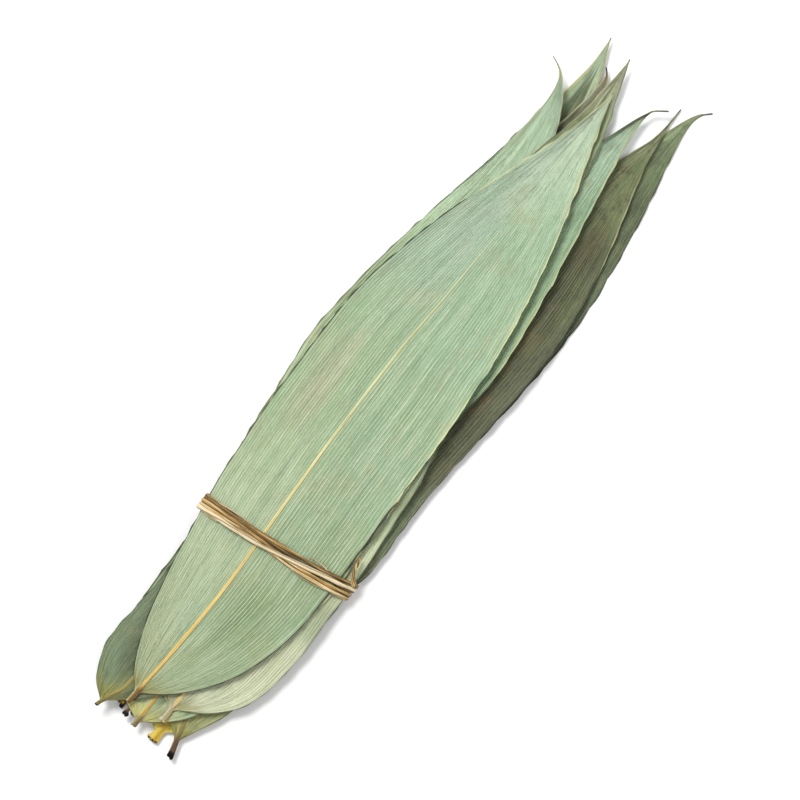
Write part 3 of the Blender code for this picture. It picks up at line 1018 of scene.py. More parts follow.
    def shape(self) -> None:
        """Gives each point its height: the solid's, with the dried blade's ripples, veins and midrib."""
        known = smooth_curve(self.solid_y, self.solid_heights, self.rows)
        solid = [smooth_curve(self.SOLID_PLACES, row, t) for row, t in zip(known, self.t)]
        blade = rise(self.from_foot, 0.0, self.VEINS_START) * rise(1 - self.share, 0.0, self.VEINS_STOP)
        self.blade = blade[:, None]
        self.calm = np.array(solid) + self.ripples() * self.blade
        wave = np.abs(((np.abs(self.t) * self.veins) % 1.0) - 0.5) * 2
        veins = self.VEIN_HEIGHT * wave**2 * self.blade
        profile = np.clip(1 - (self.from_rib / (self.RIB_FOOT * self.RIB_HALF_WIDTH)) ** 2, 0, 1)
        taper = 1 - self.RIB_TAPER * self.share[:, None]
        rib = self.RIB_HEIGHT * taper * profile**self.RIB_POINTEDNESS
        petiole = np.clip(1 - self.from_foot[:, None] / self.PETIOLE_REACH, 0, 1)
        aside = np.minimum(np.abs(self.x - self.spine[:, None]) / self.PETIOLE_HALF_WIDTH, 1)
        self.relief = veins + rib + self.PETIOLE_HEIGHT * petiole * np.sqrt(np.clip(1 - aside**2, 0, 1))
        stalk = rise(-self.from_foot, *self.PETIOLE_FADE)[:, None]
        body = self.BLADE_THICKNESS + (self.plan.stalk.thickness - self.BLADE_THICKNESS) * stalk
        self.thickness = body + self.RIB_HEIGHT * profile * taper
        self.roll_shift, self.roll_lift, self.rolled = (np.zeros_like(self.t) for _ in range(3))
        for roll in self.plan.rolls:
            self.curl(roll)
        self.loosen()

    def curl(self, roll: Roll) -> None:
        """Curls a stretch of margin up and inwards.

        Args:
            roll: Where, how wide and how far.
        """
        sign = roll.side.value
        fade = between(self.share, roll.start, roll.end, self.ROLL_FADE, self.ROLL_FADE)
        fade *= 1 - self.ROLL_WAVES[0] + self.waves(*self.ROLL_WAVES)
        width = roll.width * np.clip(fade, 0, 1.2)[:, None]
        mine = (self.t * sign > 0) & (self.from_edge < width) & (width > self.LEAST_ROLL)
        safe = np.maximum(width, self.LEAST_ROLL)
        angle = math.radians(roll.angle)
        radius = safe / angle
        inside = np.clip((width - self.from_edge) / safe, 0, 1)
        self.roll_shift += np.where(mine, sign * (radius * np.sin(inside * angle) - inside * width), 0)
        self.roll_lift += np.where(mine, radius * (1 - np.cos(inside * angle)), 0)
        self.rolled += np.where(mine, inside, 0)

    def loosen(self) -> None:
        """Works out how far each margin stands up where nothing holds it down."""
        inside = np.clip(1 - self.from_edge / self.MARGIN_REACH, 0, 1) ** self.MARGIN_STEEPNESS * self.blade
        self.loose = np.zeros_like(self.t)
        for side in Side:
            wave = self.MARGIN_WAVE * np.clip(self.waves(*self.MARGIN_WAVES) + 0.5, 0, 2)[:, None]
            self.loose += np.where(self.t * side.value > 0, wave * inside, 0)
        for lift in self.plan.lifts:
            fade = between(self.share, lift.start, lift.end, *self.LIFT_FADES)
            near = np.clip(1 - self.from_edge / lift.reach, 0, 1) ** self.LIFT_STEEPNESS
            mine = self.t * lift.side.value > 0
            self.loose += np.where(mine, lift.height * fade[:, None] * near, 0)
        place = self.plan.spine[0][0] + self.from_end
        self.loose *= (1 - bell(place - self.TIE_PLACE, self.TIE_GRIP))[:, None]

    def settle(self, place: RestingPlace) -> None:
        """Lifts the leaf clear of what it lies on, and adds it to that.

        Args:
            place: What it lies on.
        """
        floor = place.under(self.x, self.y) + self.CLEARANCE
        missing = np.maximum(floor - (self.calm - self.thickness), 0)
        lift = missing
        rounds, blurs, last_blurs = self.SETTLING
        for _ in range(rounds):
            lift = np.maximum(missing, blurred(lift, blurs))
        self.calm = self.calm + blurred(lift, last_blurs)
        self.calm += max(0.0, float((floor - (self.calm - self.thickness)).max())) * 0.5
        self.top = self.calm + self.relief + self.roll_lift
        place.cover(self.x + self.roll_shift, self.y, self.top)

    def rise_free(self, ceiling: RestingPlace) -> None:
        """Raises the loose margins as far as the leaves above leave room, and adds the leaf to them.

        Args:
            ceiling: The undersides of the leaves above, turned upside down.
        """
        room = -ceiling.under(self.x, self.y) - self.CLEARANCE - self.calm - self.relief
        room = np.maximum(room, 0)
        lift = np.minimum(self.loose, room)
        rounds, blurs = self.RISING
        for _ in range(rounds):
            lift = np.minimum(blurred(lift, blurs), room)
        self.top = self.top + lift
        self.calm = self.calm + lift
        ceiling.cover(self.x + self.roll_shift, self.y, self.thickness - self.calm)

    def build(self) -> Piece:
        """Makes the leaf's mesh from a flat grid.

        Returns:
            The leaf.
        """
        points = np.stack([self.x + self.roll_shift, self.y, self.top], axis=-1)
        whole = np.ones_like(self.t)
        leaf = placed_grid(f"{self.plan.node}_blade", points, {
            "across": self.t,
            "along": self.share[:, None] * whole,
            "from_rib": self.from_rib,
            "from_edge": self.from_edge,
            "from_foot": self.from_foot[:, None] * whole,
            "from_end": self.from_end[:, None] * whole,
            "from_tip": self.from_tip[:, None] * whole,
            "beside_rib": self.beside_rib,
            "rolled": self.rolled,
        })
        thickest = float(self.thickness.max())
        group = leaf.vertex_groups.new(name="thickness")
        levels = np.round((self.thickness / thickest).ravel(), 2)
        for level in np.unique(levels):
            group.add(np.nonzero(levels == level)[0].tolist(), float(level), "REPLACE")
        body = leaf.modifiers.new("body", "SOLIDIFY")
        body.thickness = thickest * MM
        body.offset = -1.0
        body.vertex_group = group.name
        bpy.ops.object.modifier_apply(modifier=body.name)
        bpy.ops.object.shade_smooth()
        return leaf

    def dress(self, leaf: Piece) -> None:
        """Gives the leaf its material and its place in the frame.

        Args:
            leaf: The leaf.
        """
        seed = self.plan.seed * LEAF_SEED_STEP
        leaf.data.materials.append(self.plan.finish.material(self.plan.node, self.veins, seed))
        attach(leaf, ROOT)
        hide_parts(self.plan.node)


@dataclass(frozen=True)
class Turn:
    """One turn of the strand over the top, from the left edge to the right one. Sizes are in millimetres."""

    along: tuple  # where it lies at each of the places across, in the top leaf's own measure
    age: float
    over: tuple = ()  # where it starts and stops crossing over its neighbours
    plump: float = 1.0


PLACES_ACROSS = (-38, -30, 0, 20, 40, 58)
TURNS = (
    Turn((108.6, 108.6, 111.2, 113.6, 116.6, 120.4), age=0.85, plump=0.95),
    Turn((100.8, 102.0, 105.3, 109.6, 114.4, 118.2), over=(-16, 50), age=0.0),
    Turn((107.1, 107.3, 109.8, 111.3, 113.8, 117.0), age=1.0, plump=0.8),
    Turn((105.4, 105.9, 108.2, 108.8, 111.0, 114.4), age=0.6, plump=0.92),
    Turn((103.2, 103.9, 106.2, 106.6, 108.9, 111.8), age=0.4, plump=0.85),
)


@dataclass(frozen=True)
class Fibre:
    """A fibre that came loose from a turn: where, and how far it bows and strays, all in millimetres."""

    turn: int
    start: float
    end: float
    bow: float
    stray: float


FIBRES = (
    Fibre(1, -34.0, -17.0, -1.9, 0.0),
    Fibre(0, -33.0, -4.0, 1.5, 0.6),
    Fibre(4, 50.0, 22.0, -1.7, -0.4),
    Fibre(0, 44.0, 26.0, 1.6, 2.4),
)


@dataclass
class RushTie:
    """The rush strand: turns drawn tight round the bundle, and two ends twisted. Sizes are in millimetres."""

    leaves: list
    shift_x: float
    shift_y: float
    radius: float = 1.02
    wide: float = 1.22  # half the stalk's width, in radii
    high: float = 0.85
    grooves: float = 0.3  # how deep they are, in radii
    groove_width: float = 0.3
    gap: float = 0.15  # between a turn and the leaves
    crossing: float = 1.9  # how many radii higher a turn runs where it crosses over others
    crossing_slope: float = 8.0
    first: float = 99.0
    middle: float = 110.0
    last: float = 121.0
    margin: float = 3.0  # how far beyond these three the leaves are looked at
    spacing: float = 3.0  # of a line's points
    corner: float = 12.0  # degrees between its points where it turns
    lowest: float = 1.05
    fibre_height: float = 0.5
    fibre_plump: float = 0.3
    fibre_taper: float = 0.5
    fibre_age: float = 0.3
    end_place: tuple = (4.5, 123.5)  # in from the right edge, and along
    end_patch: tuple = (-1.5, 5.0)  # from there, the middle of what the ends lie on
    end_patch_reach: tuple = (4.0, 8.0)
    end_rest: float = 0.7  # how many radii above that they lie
    end_points: int = 60
    end_length: float = 11.5
    end_lean: tuple = (-0.3, 0.95, 0.12)
    end_turns: float = 1.6
    end_radius: float = 0.75
    end_closing: float = 0.4  # how much of that radius is gone at the tips
    end_root: tuple = (-0.6, -2.2, -0.8)  # from the right edge, the ends' place and the leaves' top
    end_spread: float = 0.5  # how far apart their roots are, for each radian between them
    end_plump: float = 0.68
    end_taper: float = 0.35
    end_ages: tuple = (0.35, 0.65)
    twist: tuple = (18, 30)  # millimetres for each radian that the grooves turn, least and most
    sway: float = 0.8
    sway_lengths: tuple = (11, 17)
    lumps_high: tuple = (0.08, 0.05, 0.06)
    lumps_long: tuple = ((5, 9), (2, 4), (9, 14))
    sides: int = 20
    step: float = 0.7
    evening: int = 4  # how often the line is evened out
    side_hint: tuple = (0.3, 1.0, 0.2)  # the way that the strand's flat side faces
    same_point: float = 0.01
    turn_seed: int = 40
    end_seed: int = 50
    fibre_seed: int = 60

    def outline(self) -> None:
        """Finds the closed line round the bundle's cross-section."""
        angles = np.linspace(0, 2 * np.pi, 361)[:-1]
        self.normals = np.stack([np.cos(angles), np.sin(angles)], axis=1)
        self.touched = np.zeros_like(self.normals)
        for side in Side:
            first, last = (self.first, self.middle) if side is Side.LEFT else (self.middle, self.last)
            low, high = first + self.shift_y - self.margin, last + self.shift_y + self.margin
            found = []
            for leaf in self.leaves:
                near = (leaf.rows > low) & (leaf.rows < high)
                for z in (leaf.top[near], leaf.calm[near] - leaf.thickness[near]):
                    found.append(np.stack([leaf.x[near].ravel(), z.ravel()], axis=1))
            points = np.concatenate(found)
            reached = points[np.argmax(points @ self.normals.T, axis=0)]
            mine = self.normals[:, 0] * side.value >= 0
            self.touched[mine] = reached[mine]

    def half(self, over: bool, distance: float) -> np.ndarray:
        """Points from edge to edge, over the top or underneath.

        Args:
            over: Whether the line runs over the top.
            distance: How far it keeps off the leaves.

        Returns:
            The points, across and up.
        """
        picked = np.arange(0, 181) if over else np.arange(180, 361) % 360
        flat = self.touched[picked]
        steps = np.linalg.norm(np.diff(flat, axis=0), axis=1) / self.spacing + 1 / self.corner
        along = np.concatenate([[0], np.cumsum(steps)])
        at = np.linspace(0, along[-1], int(along[-1]) + 2)
        line = flat + distance * self.normals[picked]
        return np.stack([np.interp(at, along, line[:, 0]), np.interp(at, along, line[:, 1])], axis=1)

    def along(self, turn: Turn, across: np.ndarray) -> np.ndarray:
        """How far along the bundle a turn lies at each place across, in the frame's measure."""
        return smooth_curve(np.array(PLACES_ACROSS), np.array(turn.along), across) + self.shift_y

    def routes(self) -> list:
        """The middle line of each turn, from the right edge over the top and back underneath.

        Returns:
            One array of points for each turn.
        """
        close = self.high * self.radius + self.gap
        flat = self.half(True, close)
        across = flat[:, 0] - self.shift_x
        under = self.half(False, close)
        under[:, 1] = np.maximum(under[:, 1], self.lowest)
        back = np.clip((under[1:-1, 0] - under[0, 0]) / (under[-1, 0] - under[0, 0]), 0, 1)
        routes = []
        for number, turn in enumerate(TURNS):
            following = TURNS[(number + 1) % len(TURNS)].along[-1]
            over = flat
            if turn.over:
                lifted = self.half(True, close + self.crossing * self.radius)
                slope = self.crossing_slope
                raised = between(across, turn.over[0] - slope, turn.over[1] + slope, slope, slope)
                over = flat + (lifted - flat) * raised[:, None]
            left = turn.along[0] + (following - turn.along[0]) * back + self.shift_y
            top = np.column_stack([over[:, 0], self.along(turn, across), over[:, 1]])
            routes.append(np.concatenate([top, np.column_stack([under[1:-1, 0], left, under[1:-1, 1]])]))
        return routes

    def fibres(self) -> list:
        """The middle lines of the fibres that came loose from the turns.

        Returns:
            One array of points for each fibre.
        """
        found = []
        over = self.half(True, self.high * self.radius)
        across = over[:, 0] - self.shift_x
        for fibre in FIBRES:
            part = (across > min(fibre.start, fibre.end)) & (across < max(fibre.start, fibre.end))
            share = (across[part] - fibre.start) / (fibre.end - fibre.start)
            bow = np.sin(np.pi * share) * fibre.bow + share * fibre.stray
            along = self.along(TURNS[fibre.turn], across[part]) + bow
            line = np.column_stack([over[part, 0], along, over[part, 1] + self.fibre_height])
            found.append(line[np.argsort(share)])
        return found

    def ends(self) -> list:
        """The middle lines of the two ends, wound round each other, lying on the leaves.

        Returns:
            One array of points for each end.
        """
        edge = self.touched[:, 0].max()
        start_x = edge - self.end_place[0]
        start_y = self.end_place[1] + self.shift_y
        height = 0.0
        for leaf in self.leaves:
            near = np.abs(leaf.x - start_x - self.end_patch[0]) < self.end_patch_reach[0]
            near &= np.abs(leaf.y - start_y - self.end_patch[1]) < self.end_patch_reach[1]
            height = max(height, float(leaf.top[near].max(initial=0.0)))
        lean = np.array(self.end_lean) / np.linalg.norm(self.end_lean)
        side = np.cross(lean, (0, 0, 1))
        side /= np.linalg.norm(side)
        up = np.cross(side, lean)
        share = np.linspace(0, 1, self.end_points)[:, None]
        middle = np.array([start_x, start_y, height + self.end_radius + self.end_rest * self.radius])
        middle = middle + self.end_length * share * lean
        angle = 2 * np.pi * self.end_turns * share
        root = np.array([edge, start_y, height]) + self.end_root
        found = []
        for start in (np.pi, 0.0):
            around = np.cos(start + angle) * side + np.sin(start + angle) * up
            line = middle + self.end_radius * (1 - self.end_closing * share) * around
            found.append(np.concatenate([[root - (0, self.end_spread * start, 0)], line]))
        return found

    def strand(self, name: str, route: np.ndarray, seed: int, plump: float, taper: float = 0.0) -> Piece:
        """Makes one flattened stalk of two plies that follows a route.

        Args:
            name: The piece's name.
            route: Its middle line.
            seed: For its lumps and grooves.
            plump: Its thickness, as a share of the usual one.
            taper: How much thinner its far end is.

        Returns:
            The stalk.
        """
        steps = np.concatenate([[0], np.cumsum(np.linalg.norm(np.diff(route, axis=0), axis=1))])
        at = np.arange(0, steps[-1], self.step)
        line = np.stack([np.interp(at, steps, route[:, axis]) for axis in range(3)], axis=1)
        for _ in range(self.evening):
            line[1:-1] = 0.5 * line[1:-1] + 0.25 * (line[:-2] + line[2:])
        forward = np.gradient(line, axis=0)
        forward /= np.linalg.norm(forward, axis=1)[:, None]
        side = np.tile(self.side_hint, (len(at), 1))
        side -= (side * forward).sum(axis=1)[:, None] * forward
        side /= np.linalg.norm(side, axis=1)[:, None]
        out = np.cross(side, forward)
        around = np.linspace(0, 2 * np.pi, self.sides + 1)[None, :]
        far = at[:, None]
        size, groove = self.lumps(around, far, seed)
        size *= plump * (1 - taper * far / at[-1])
        across = (self.wide * self.radius * size * np.cos(around))[..., None] * side[:, None, :]
        upward = (self.high * self.radius * size * np.sin(around))[..., None] * out[:, None, :]
        whole = np.ones_like(groove)
        stalk = placed_grid(name, line[:, None, :] + across + upward, {
            "around": np.abs(np.linspace(-1, 1, self.sides + 1))[None, :] * whole,
            "along": far * MM * whole,
            "groove": groove,
        })
        self.close()
        return stalk

    def lumps(self, around: np.ndarray, far: np.ndarray, seed: int) -> tuple[np.ndarray, np.ndarray]:
        """The stalk's uneven thickness, with the grooves between its two plies.

        Args:
            around: The angle round the stalk.
            far: How far along it each row is.
            seed: For the lumps and grooves.

        Returns:
            The thickness at each point, around 1, and how deep in a groove the point is.
        """
        random = np.random.default_rng(seed)
        turned = far / random.uniform(*self.twist)
        turned = turned + self.sway * np.sin(far / random.uniform(*self.sway_lengths)) + random.random() * 6
        apart = np.abs(np.mod(around - turned, np.pi) - np.pi / 2)
        groove = bell(apart, self.groove_width)
        coarse, fine, slow = self.lumps_high
        long, short, longest = self.lumps_long
        size = 1 + coarse * np.sin(far / random.uniform(*long) + 2 * around + random.random() * 6)
        small = fine * np.sin(far / random.uniform(*short) + 3 * around)
        size += small + slow * np.sin(far / random.uniform(*longest))
        return size * (1 - self.grooves * groove), groove

    def close(self) -> None:
        """Turns the active grid, rolled up into a stalk, into one closed surface."""
        bpy.ops.object.mode_set(mode="EDIT")
        bpy.ops.mesh.select_all(action="SELECT")
        bpy.ops.mesh.remove_doubles(threshold=self.same_point * MM)
        bpy.ops.mesh.select_all(action="DESELECT")
        bpy.ops.mesh.select_non_manifold(extend=False, use_wire=False, use_boundary=True)
        bpy.ops.mesh.fill_holes(sides=0)
        bpy.ops.mesh.select_all(action="SELECT")
        bpy.ops.mesh.normals_make_consistent(inside=False)
        bpy.ops.object.mode_set(mode="OBJECT")
        bpy.ops.object.shade_smooth()

    def build(self) -> list:
        """Makes the turns, the loose fibres and the two ends.

        Returns:
            The pieces, each with its age.
        """
        self.outline()
        turns = [(turn.plump, 0.0, turn.age) for turn in TURNS]
        fibres = [(self.fibre_plump, self.fibre_taper, self.fibre_age)] * len(FIBRES)
        ends = [(self.end_plump, self.end_taper, age) for age in self.end_ages]
        kinds = (
            ("turn", self.turn_seed, self.routes(), turns),
            ("fibre", self.fibre_seed, self.fibres(), fibres),
            ("end", self.end_seed, self.ends(), ends),
        )
        pieces = []
        for kind, seed, routes, looks in kinds:
            for number, (route, (plump, taper, age)) in enumerate(zip(routes, looks)):
                name = f"straw_tie_{kind}_{number + 1}"
                pieces.append((self.strand(name, route, seed + number, plump, taper), age))
        return pieces

    def dress(self, pieces: list) -> None:
        """Gives each piece its own shade of straw.

        Args:
            pieces: The pieces, each with its age.
        """
        finish = StrawFinish()
        for number, (piece, age) in enumerate(pieces):
            piece.data.materials.append(finish.material(piece.name, STRAW_SEED_STEP * number, age))
            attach(piece, ROOT)
            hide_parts("straw_tie")


@dataclass(frozen=True)
class Studio:
    """The pale floor, the soft lights and the camera that looks straight down. Sizes are in metres."""

    foot: tuple  # where the top leaf's measure starts
    view_width: float = 0.4368
    distance: float = 1.6
    turn: float = 38.8
    aim: tuple = (0.01396, 0.2144)  # from there
    sensor: float = 36.0
    floor_size: float = 12.0
    floor_color: tuple = (0.9, 0.9, 0.9, 1)
    floor_roughness: float = 0.9
    floor_specular: float = 0.1
    lamps: tuple = (  # each one's name, its place, the length of its side and its power in watts
        ("key_light", (-1.15, 0.4, 1.9), 0.75, 46.0),
        ("fill_light", (1.6, -0.8, 1.8), 2.0, 12.0),
        ("back_light", (0.3, 1.8, 1.5), 1.6, 10.0),
    )
    surroundings: float = 0.48

    def floor(self) -> None:
        """Makes the floor."""
        bpy.ops.object.select_all(action="DESELECT")
        bpy.ops.mesh.primitive_plane_add(size=self.floor_size, location=(0, 0, 0))
        floor = bpy.context.active_object
        floor.name = "studio_floor"
        floor.data.materials.append(Shader("studio_floor").finish({
            "Base Color": self.floor_color,
            "Roughness": self.floor_roughness,
            "Specular IOR Level": self.floor_specular,
        }))

    def lights(self) -> None:
        """Hangs square soft lights that point at the bundle, and sets the surroundings."""
        for name, place, size, power in self.lamps:
            data = bpy.data.lights.new(name, "AREA")
            data.shape = "SQUARE"
            data.size = size
            data.energy = power
            lamp = bpy.data.objects.new(name, data)
            lamp.location = place
            lamp.rotation_euler = (-Vector(place)).to_track_quat("-Z", "Y").to_euler()
            bpy.context.scene.collection.objects.link(lamp)
        world = bpy.data.worlds.new("studio")
        world.use_nodes = True
        background = world.node_tree.nodes["Background"]
        background.inputs["Color"].default_value = (1, 1, 1, 1)
        background.inputs["Strength"].default_value = self.surroundings
        bpy.context.scene.world = world
        bpy.context.scene.view_settings.view_transform = "Standard"

    def camera(self) -> None:
        """Sets up the camera above the bundle."""
        data = bpy.data.cameras.new("camera")
        data.sensor_width = self.sensor
        data.lens = self.sensor * self.distance / self.view_width
        camera = bpy.data.objects.new("camera", data)
        camera.location = (self.foot[0] + self.aim[0], self.foot[1] + self.aim[1], self.distance)
        camera.rotation_euler = (0, 0, math.radians(self.turn))
        bpy.context.scene.collection.objects.link(camera)
        bpy.context.scene.camera = camera

    def build(self) -> None:
        """Sets up the whole studio."""
        self.floor()
        self.lights()
        self.camera()


SAGE = LeafFinish(
    left=(
        (0.0, (188, 194, 148)), (0.2, (186, 200, 160)), (0.5, (160, 185, 139)), (0.75, (166, 192, 168)),
        (0.94, (220, 240, 212)),
    ),
    right=(
        (0.0, (168, 178, 124)), (0.2, (147, 166, 120)), (0.5, (149, 175, 136)), (0.75, (156, 188, 150)),
        (0.94, (218, 240, 208)),
    ),
    # painted shade along this leaf's margin, the darkest of all
    painted_edge_shade=(30, 34, 20),
    rib_base=(244, 208, 118),
    rib_tip=(214, 228, 180),
    petiole=(188, 148, 86),
    petiole_dark=(138, 98, 48),
    petiole_pale=(244, 234, 168),
    pale_left=(0.8, 1.0),
    pale_right=(0.42, 1.0),
    margin=(226, 232, 178),
    cut_end=(116, 88, 58),
    cut_reach=-0.6,
    tip=(214, 218, 172),
    tip_dark=(150, 142, 102),
    tip_reach=4.0,
    stains_and_shades=(
        StainAndShade(0.42, 0.16, 0.42, 0.075, (110, 136, 76), 0.72),
        StainAndShade(-0.6, 0.47, 0.34, 0.12, (182, 166, 138), 0.62),
        StainAndShade(-0.45, 0.75, 0.4, 0.07, (158, 168, 160), 0.4),
    ),
)
PALE = LeafFinish(
    left=(
        (0.0, (232, 232, 198)), (0.3, (192, 206, 162)), (0.6, (182, 208, 160)), (0.82, (192, 230, 192)),
        (1.0, (222, 246, 212)),
    ),
    # the dark stops at 0.43 and 0.5 are painted shade, cast on this half above the tie by the top leaf's
    # lifted margin
    right=(
        (0.0, (236, 238, 202)), (0.2, (212, 218, 180)), (0.36, (206, 220, 176)), (0.43, (130, 148, 112)),
        (0.5, (118, 134, 100)), (0.85, (198, 230, 194)),
    ),
    vein=(224, 228, 196),
    streak=(146, 160, 118),
    rib_base=(232, 208, 138),
    petiole=(255, 246, 196),
    petiole_dark=(240, 206, 140),
    petiole_pale=(255, 253, 230),
    pale_left=(0.9, 1.0),
    pale_right=(0.7, 1.0),
    painted_edge_shade_share=0.65,
    margin=(222, 222, 180),
    cut_end=(150, 112, 84),
    cut_reach=-0.4,
    cool_share=0.15,
    tip=(190, 192, 130),
    tip_dark=(112, 98, 72),
    tip_reach=8.0,
    stains_and_shades=(
        StainAndShade(-0.85, 0.9, 0.3, 0.05, (132, 156, 116), 0.6),
        StainAndShade(0.95, 0.21, 0.2, 0.05, (112, 124, 92), 0.7),
    ),
)
YELLOW_GREEN = LeafFinish(
    left=(
        (0.0, (160, 162, 84)), (0.05, (134, 152, 110)), (0.12, (126, 141, 108)), (0.3, (120, 136, 100)),
        (0.9, (196, 204, 152)), (1.0, (238, 242, 214)),
    ),
    right=(
        (0.0, (150, 150, 84)), (0.05, (102, 108, 74)), (0.2, (112, 124, 88)), (0.35, (150, 166, 122)),
        (0.9, (180, 194, 146)), (1.0, (234, 240, 206)),
    ),
    mottled=0.35,
    gloom=(86, 96, 68),
    vein=(158, 174, 138),
    streak=(80, 94, 68),
    petiole=(178, 162, 88),
    petiole_dark=(134, 116, 60),
    petiole_pale=(204, 192, 118),
    rib_base=(168, 152, 84),
    rib_tip=(204, 208, 172),
    pale_left=(0.9, 1.0),
    pale_right=(0.22, 0.5),
    base_tint=(166, 160, 78),
    painted_edge_shade_share=0.45,
    cut_reach=0.5,
    tip=(228, 230, 196),
    tip_dark=(140, 128, 100),
    tip_reach=4.0,
    stains_and_shades=(
        # painted shade beside the top leaf's margin, near the base
        StainAndShade(-0.3, 0.065, 0.4, 0.05, (70, 76, 50), 0.9),
        StainAndShade(0.0, 0.97, 1.4, 0.05, (214, 218, 180), 0.7),
    ),
)
CROSSING = LeafFinish(
    # The dark stops at 0.9 are painted shade on the lower part of the tip, under the leaves that lie over it;
    # the stops at 0.0 and 0.1 are the base's own yellow, lightened further as painted light against the shade
    # of the leaves above.
    left=(
        (0.0, (236, 226, 140)), (0.1, (190, 192, 122)), (0.3, (140, 150, 106)), (0.7, (140, 158, 120)),
        (0.9, (94, 106, 76)), (0.95, (208, 235, 199)),
    ),
    right=(
        (0.0, (236, 228, 144)), (0.1, (186, 188, 124)), (0.3, (140, 148, 104)), (0.7, (124, 140, 106)),
        (0.9, (92, 102, 72)), (0.95, (216, 238, 200)),
    ),
    vein=(174, 184, 136),
    streak=(92, 104, 66),
    rib_base=(172, 156, 92),
    petiole=(148, 118, 88),
    petiole_dark=(96, 70, 52),
    petiole_pale=(188, 164, 116),
    pale_left=(0.9, 1.0),
    pale_right=(0.9, 1.0),
    painted_edge_shade_share=0.6,
    margin=(216, 212, 150),
    mottled=0.4,
    gloom=(98, 110, 76),
    base_tint=(186, 176, 84),
    cut_end=(22, 17, 17),
    cut_reach=2.8,
    tip=(214, 224, 176),
    tip_dark=(132, 124, 96),
    tip_reach=5.0,
    stains_and_shades=(StainAndShade(0.1, 0.99, 1.4, 0.04, (220, 246, 212), 0.9),),
)
# Its base and petiole are the leaf's own bright yellow, lightened further as painted light against the shade
# that the leaves above cast on them.
OLIVE = LeafFinish(
    left=(
        (0.0, (255, 236, 92)), (0.05, (248, 232, 110)), (0.1, (140, 142, 90)), (0.7, (126, 128, 90)),
        (1.0, (148, 136, 104)),
    ),
    right=(
        (0.0, (255, 236, 92)), (0.05, (244, 230, 112)), (0.1, (138, 140, 88)), (0.7, (122, 124, 86)),
        (1.0, (146, 134, 102)),
    ),
    vein=(250, 232, 136),
    streak=(206, 176, 74),
    base_tint=(255, 230, 84),
    base_reach=18.0,
    petiole=(255, 230, 86),
    petiole_dark=(240, 192, 72),
    petiole_pale=(255, 232, 116),
    cut_reach=0.6,
    # brighter than the other leaves: painted light against that same shade
    brightness=0.95,
)
DARK_OLIVE = LeafFinish(
    # the dark stops near 0.9 on both halves are painted shade, in the corner beside the margin of the leaf
    # that lies over this tip
    left=(
        (0.0, (176, 168, 106)), (0.1, (128, 132, 90)), (0.7, (112, 114, 84)), (0.905, (70, 74, 54)),
        (0.925, (118, 122, 98)), (0.95, (186, 190, 162)), (1.0, (160, 130, 112)),
    ),
    right=(
        (0.0, (176, 168, 106)), (0.1, (126, 130, 88)), (0.7, (110, 112, 82)), (0.89, (84, 86, 66)),
        (0.93, (136, 140, 114)), (0.95, (186, 190, 162)), (1.0, (160, 130, 112)),
    ),
    gloom=(66, 64, 50),
    mottled=0.4,
    vein=(150, 150, 122),
    streak=(78, 76, 58),
    khaki=(128, 112, 84),
    cool=(104, 112, 92),
    rib_tip=(140, 130, 96),
    petiole=(150, 116, 82),
    tip=(122, 84, 72),
    tip_dark=(40, 22, 30),
    tip_reach=9.0,
)
BRIGHT_GREEN = LeafFinish(
    left=(
        (0.0, (224, 226, 168)), (0.06, (188, 198, 144)), (0.3, (118, 138, 100)), (0.7, (128, 156, 118)),
        (0.82, (146, 176, 140)), (0.92, (206, 234, 204)), (1.0, (216, 236, 200)),
    ),
    right=(
        (0.0, (224, 226, 168)), (0.06, (188, 198, 144)), (0.3, (112, 130, 94)), (0.7, (150, 180, 138)),
        (0.82, (162, 194, 154)), (0.92, (208, 236, 204)), (1.0, (216, 236, 200)),
    ),
    vein=(184, 206, 166),
    streak=(84, 112, 78),
    petiole=(186, 170, 112),
    petiole_dark=(138, 114, 72),
    petiole_pale=(212, 200, 150),
    cut_end=(112, 92, 66),
    cut_reach=-0.6,
    base_tint=(222, 212, 118),
    pale_left=(0.9, 1.0),
    pale_right=(0.62, 0.95),
    margin=(206, 212, 160),
    tip=(150, 150, 116),
    tip_dark=(98, 90, 80),
    mottled=0.3,
    gloom=(96, 118, 82),
    stains_and_shades=(
        # painted shade in the hollow under the top leaf's base
        StainAndShade(0.2, 0.042, 0.12, 0.014, (72, 78, 42), 0.95),
        StainAndShade(0.6, 0.02, 0.3, 0.02, (150, 142, 70), 0.6),
    ),
)
BROWN_OLIVE = LeafFinish(
    left=(
        (0.0, (98, 100, 70)), (0.28, (70, 76, 54)), (0.5, (84, 88, 56)), (0.8, (60, 64, 38)),
        (0.88, (128, 138, 94)), (1.0, (196, 206, 164)),
    ),
    right=(
        (0.0, (98, 100, 70)), (0.24, (122, 136, 104)), (0.36, (124, 140, 108)), (0.46, (82, 88, 60)),
        (0.76, (70, 76, 42)), (0.88, (144, 158, 108)), (1.0, (196, 206, 164)),
    ),
    vein=(126, 132, 90),
    streak=(42, 46, 28),
    khaki=(140, 106, 72),
    khaki_share=1.0,
    cool=(92, 102, 72),
    gloom=(50, 48, 34),
    mottled=0.7,
    rib_tip=(146, 152, 112),
    pale_left=(0.9, 1.0),
    pale_right=(0.8, 0.97),
    margin=(176, 176, 132),
    tip=(186, 190, 156),
    tip_dark=(92, 84, 76),
    tip_reach=13.0,
    stains_and_shades=(
        StainAndShade(0.6, 0.8, 0.3, 0.05, (98, 72, 44), 0.5),
        StainAndShade(0.55, 0.66, 0.35, 0.04, (112, 100, 50), 0.6),
        StainAndShade(0.8, 0.73, 0.2, 0.05, (100, 118, 64), 0.6),
        StainAndShade(0.6, 0.55, 0.3, 0.05, (86, 68, 44), 0.4),
    ),
)
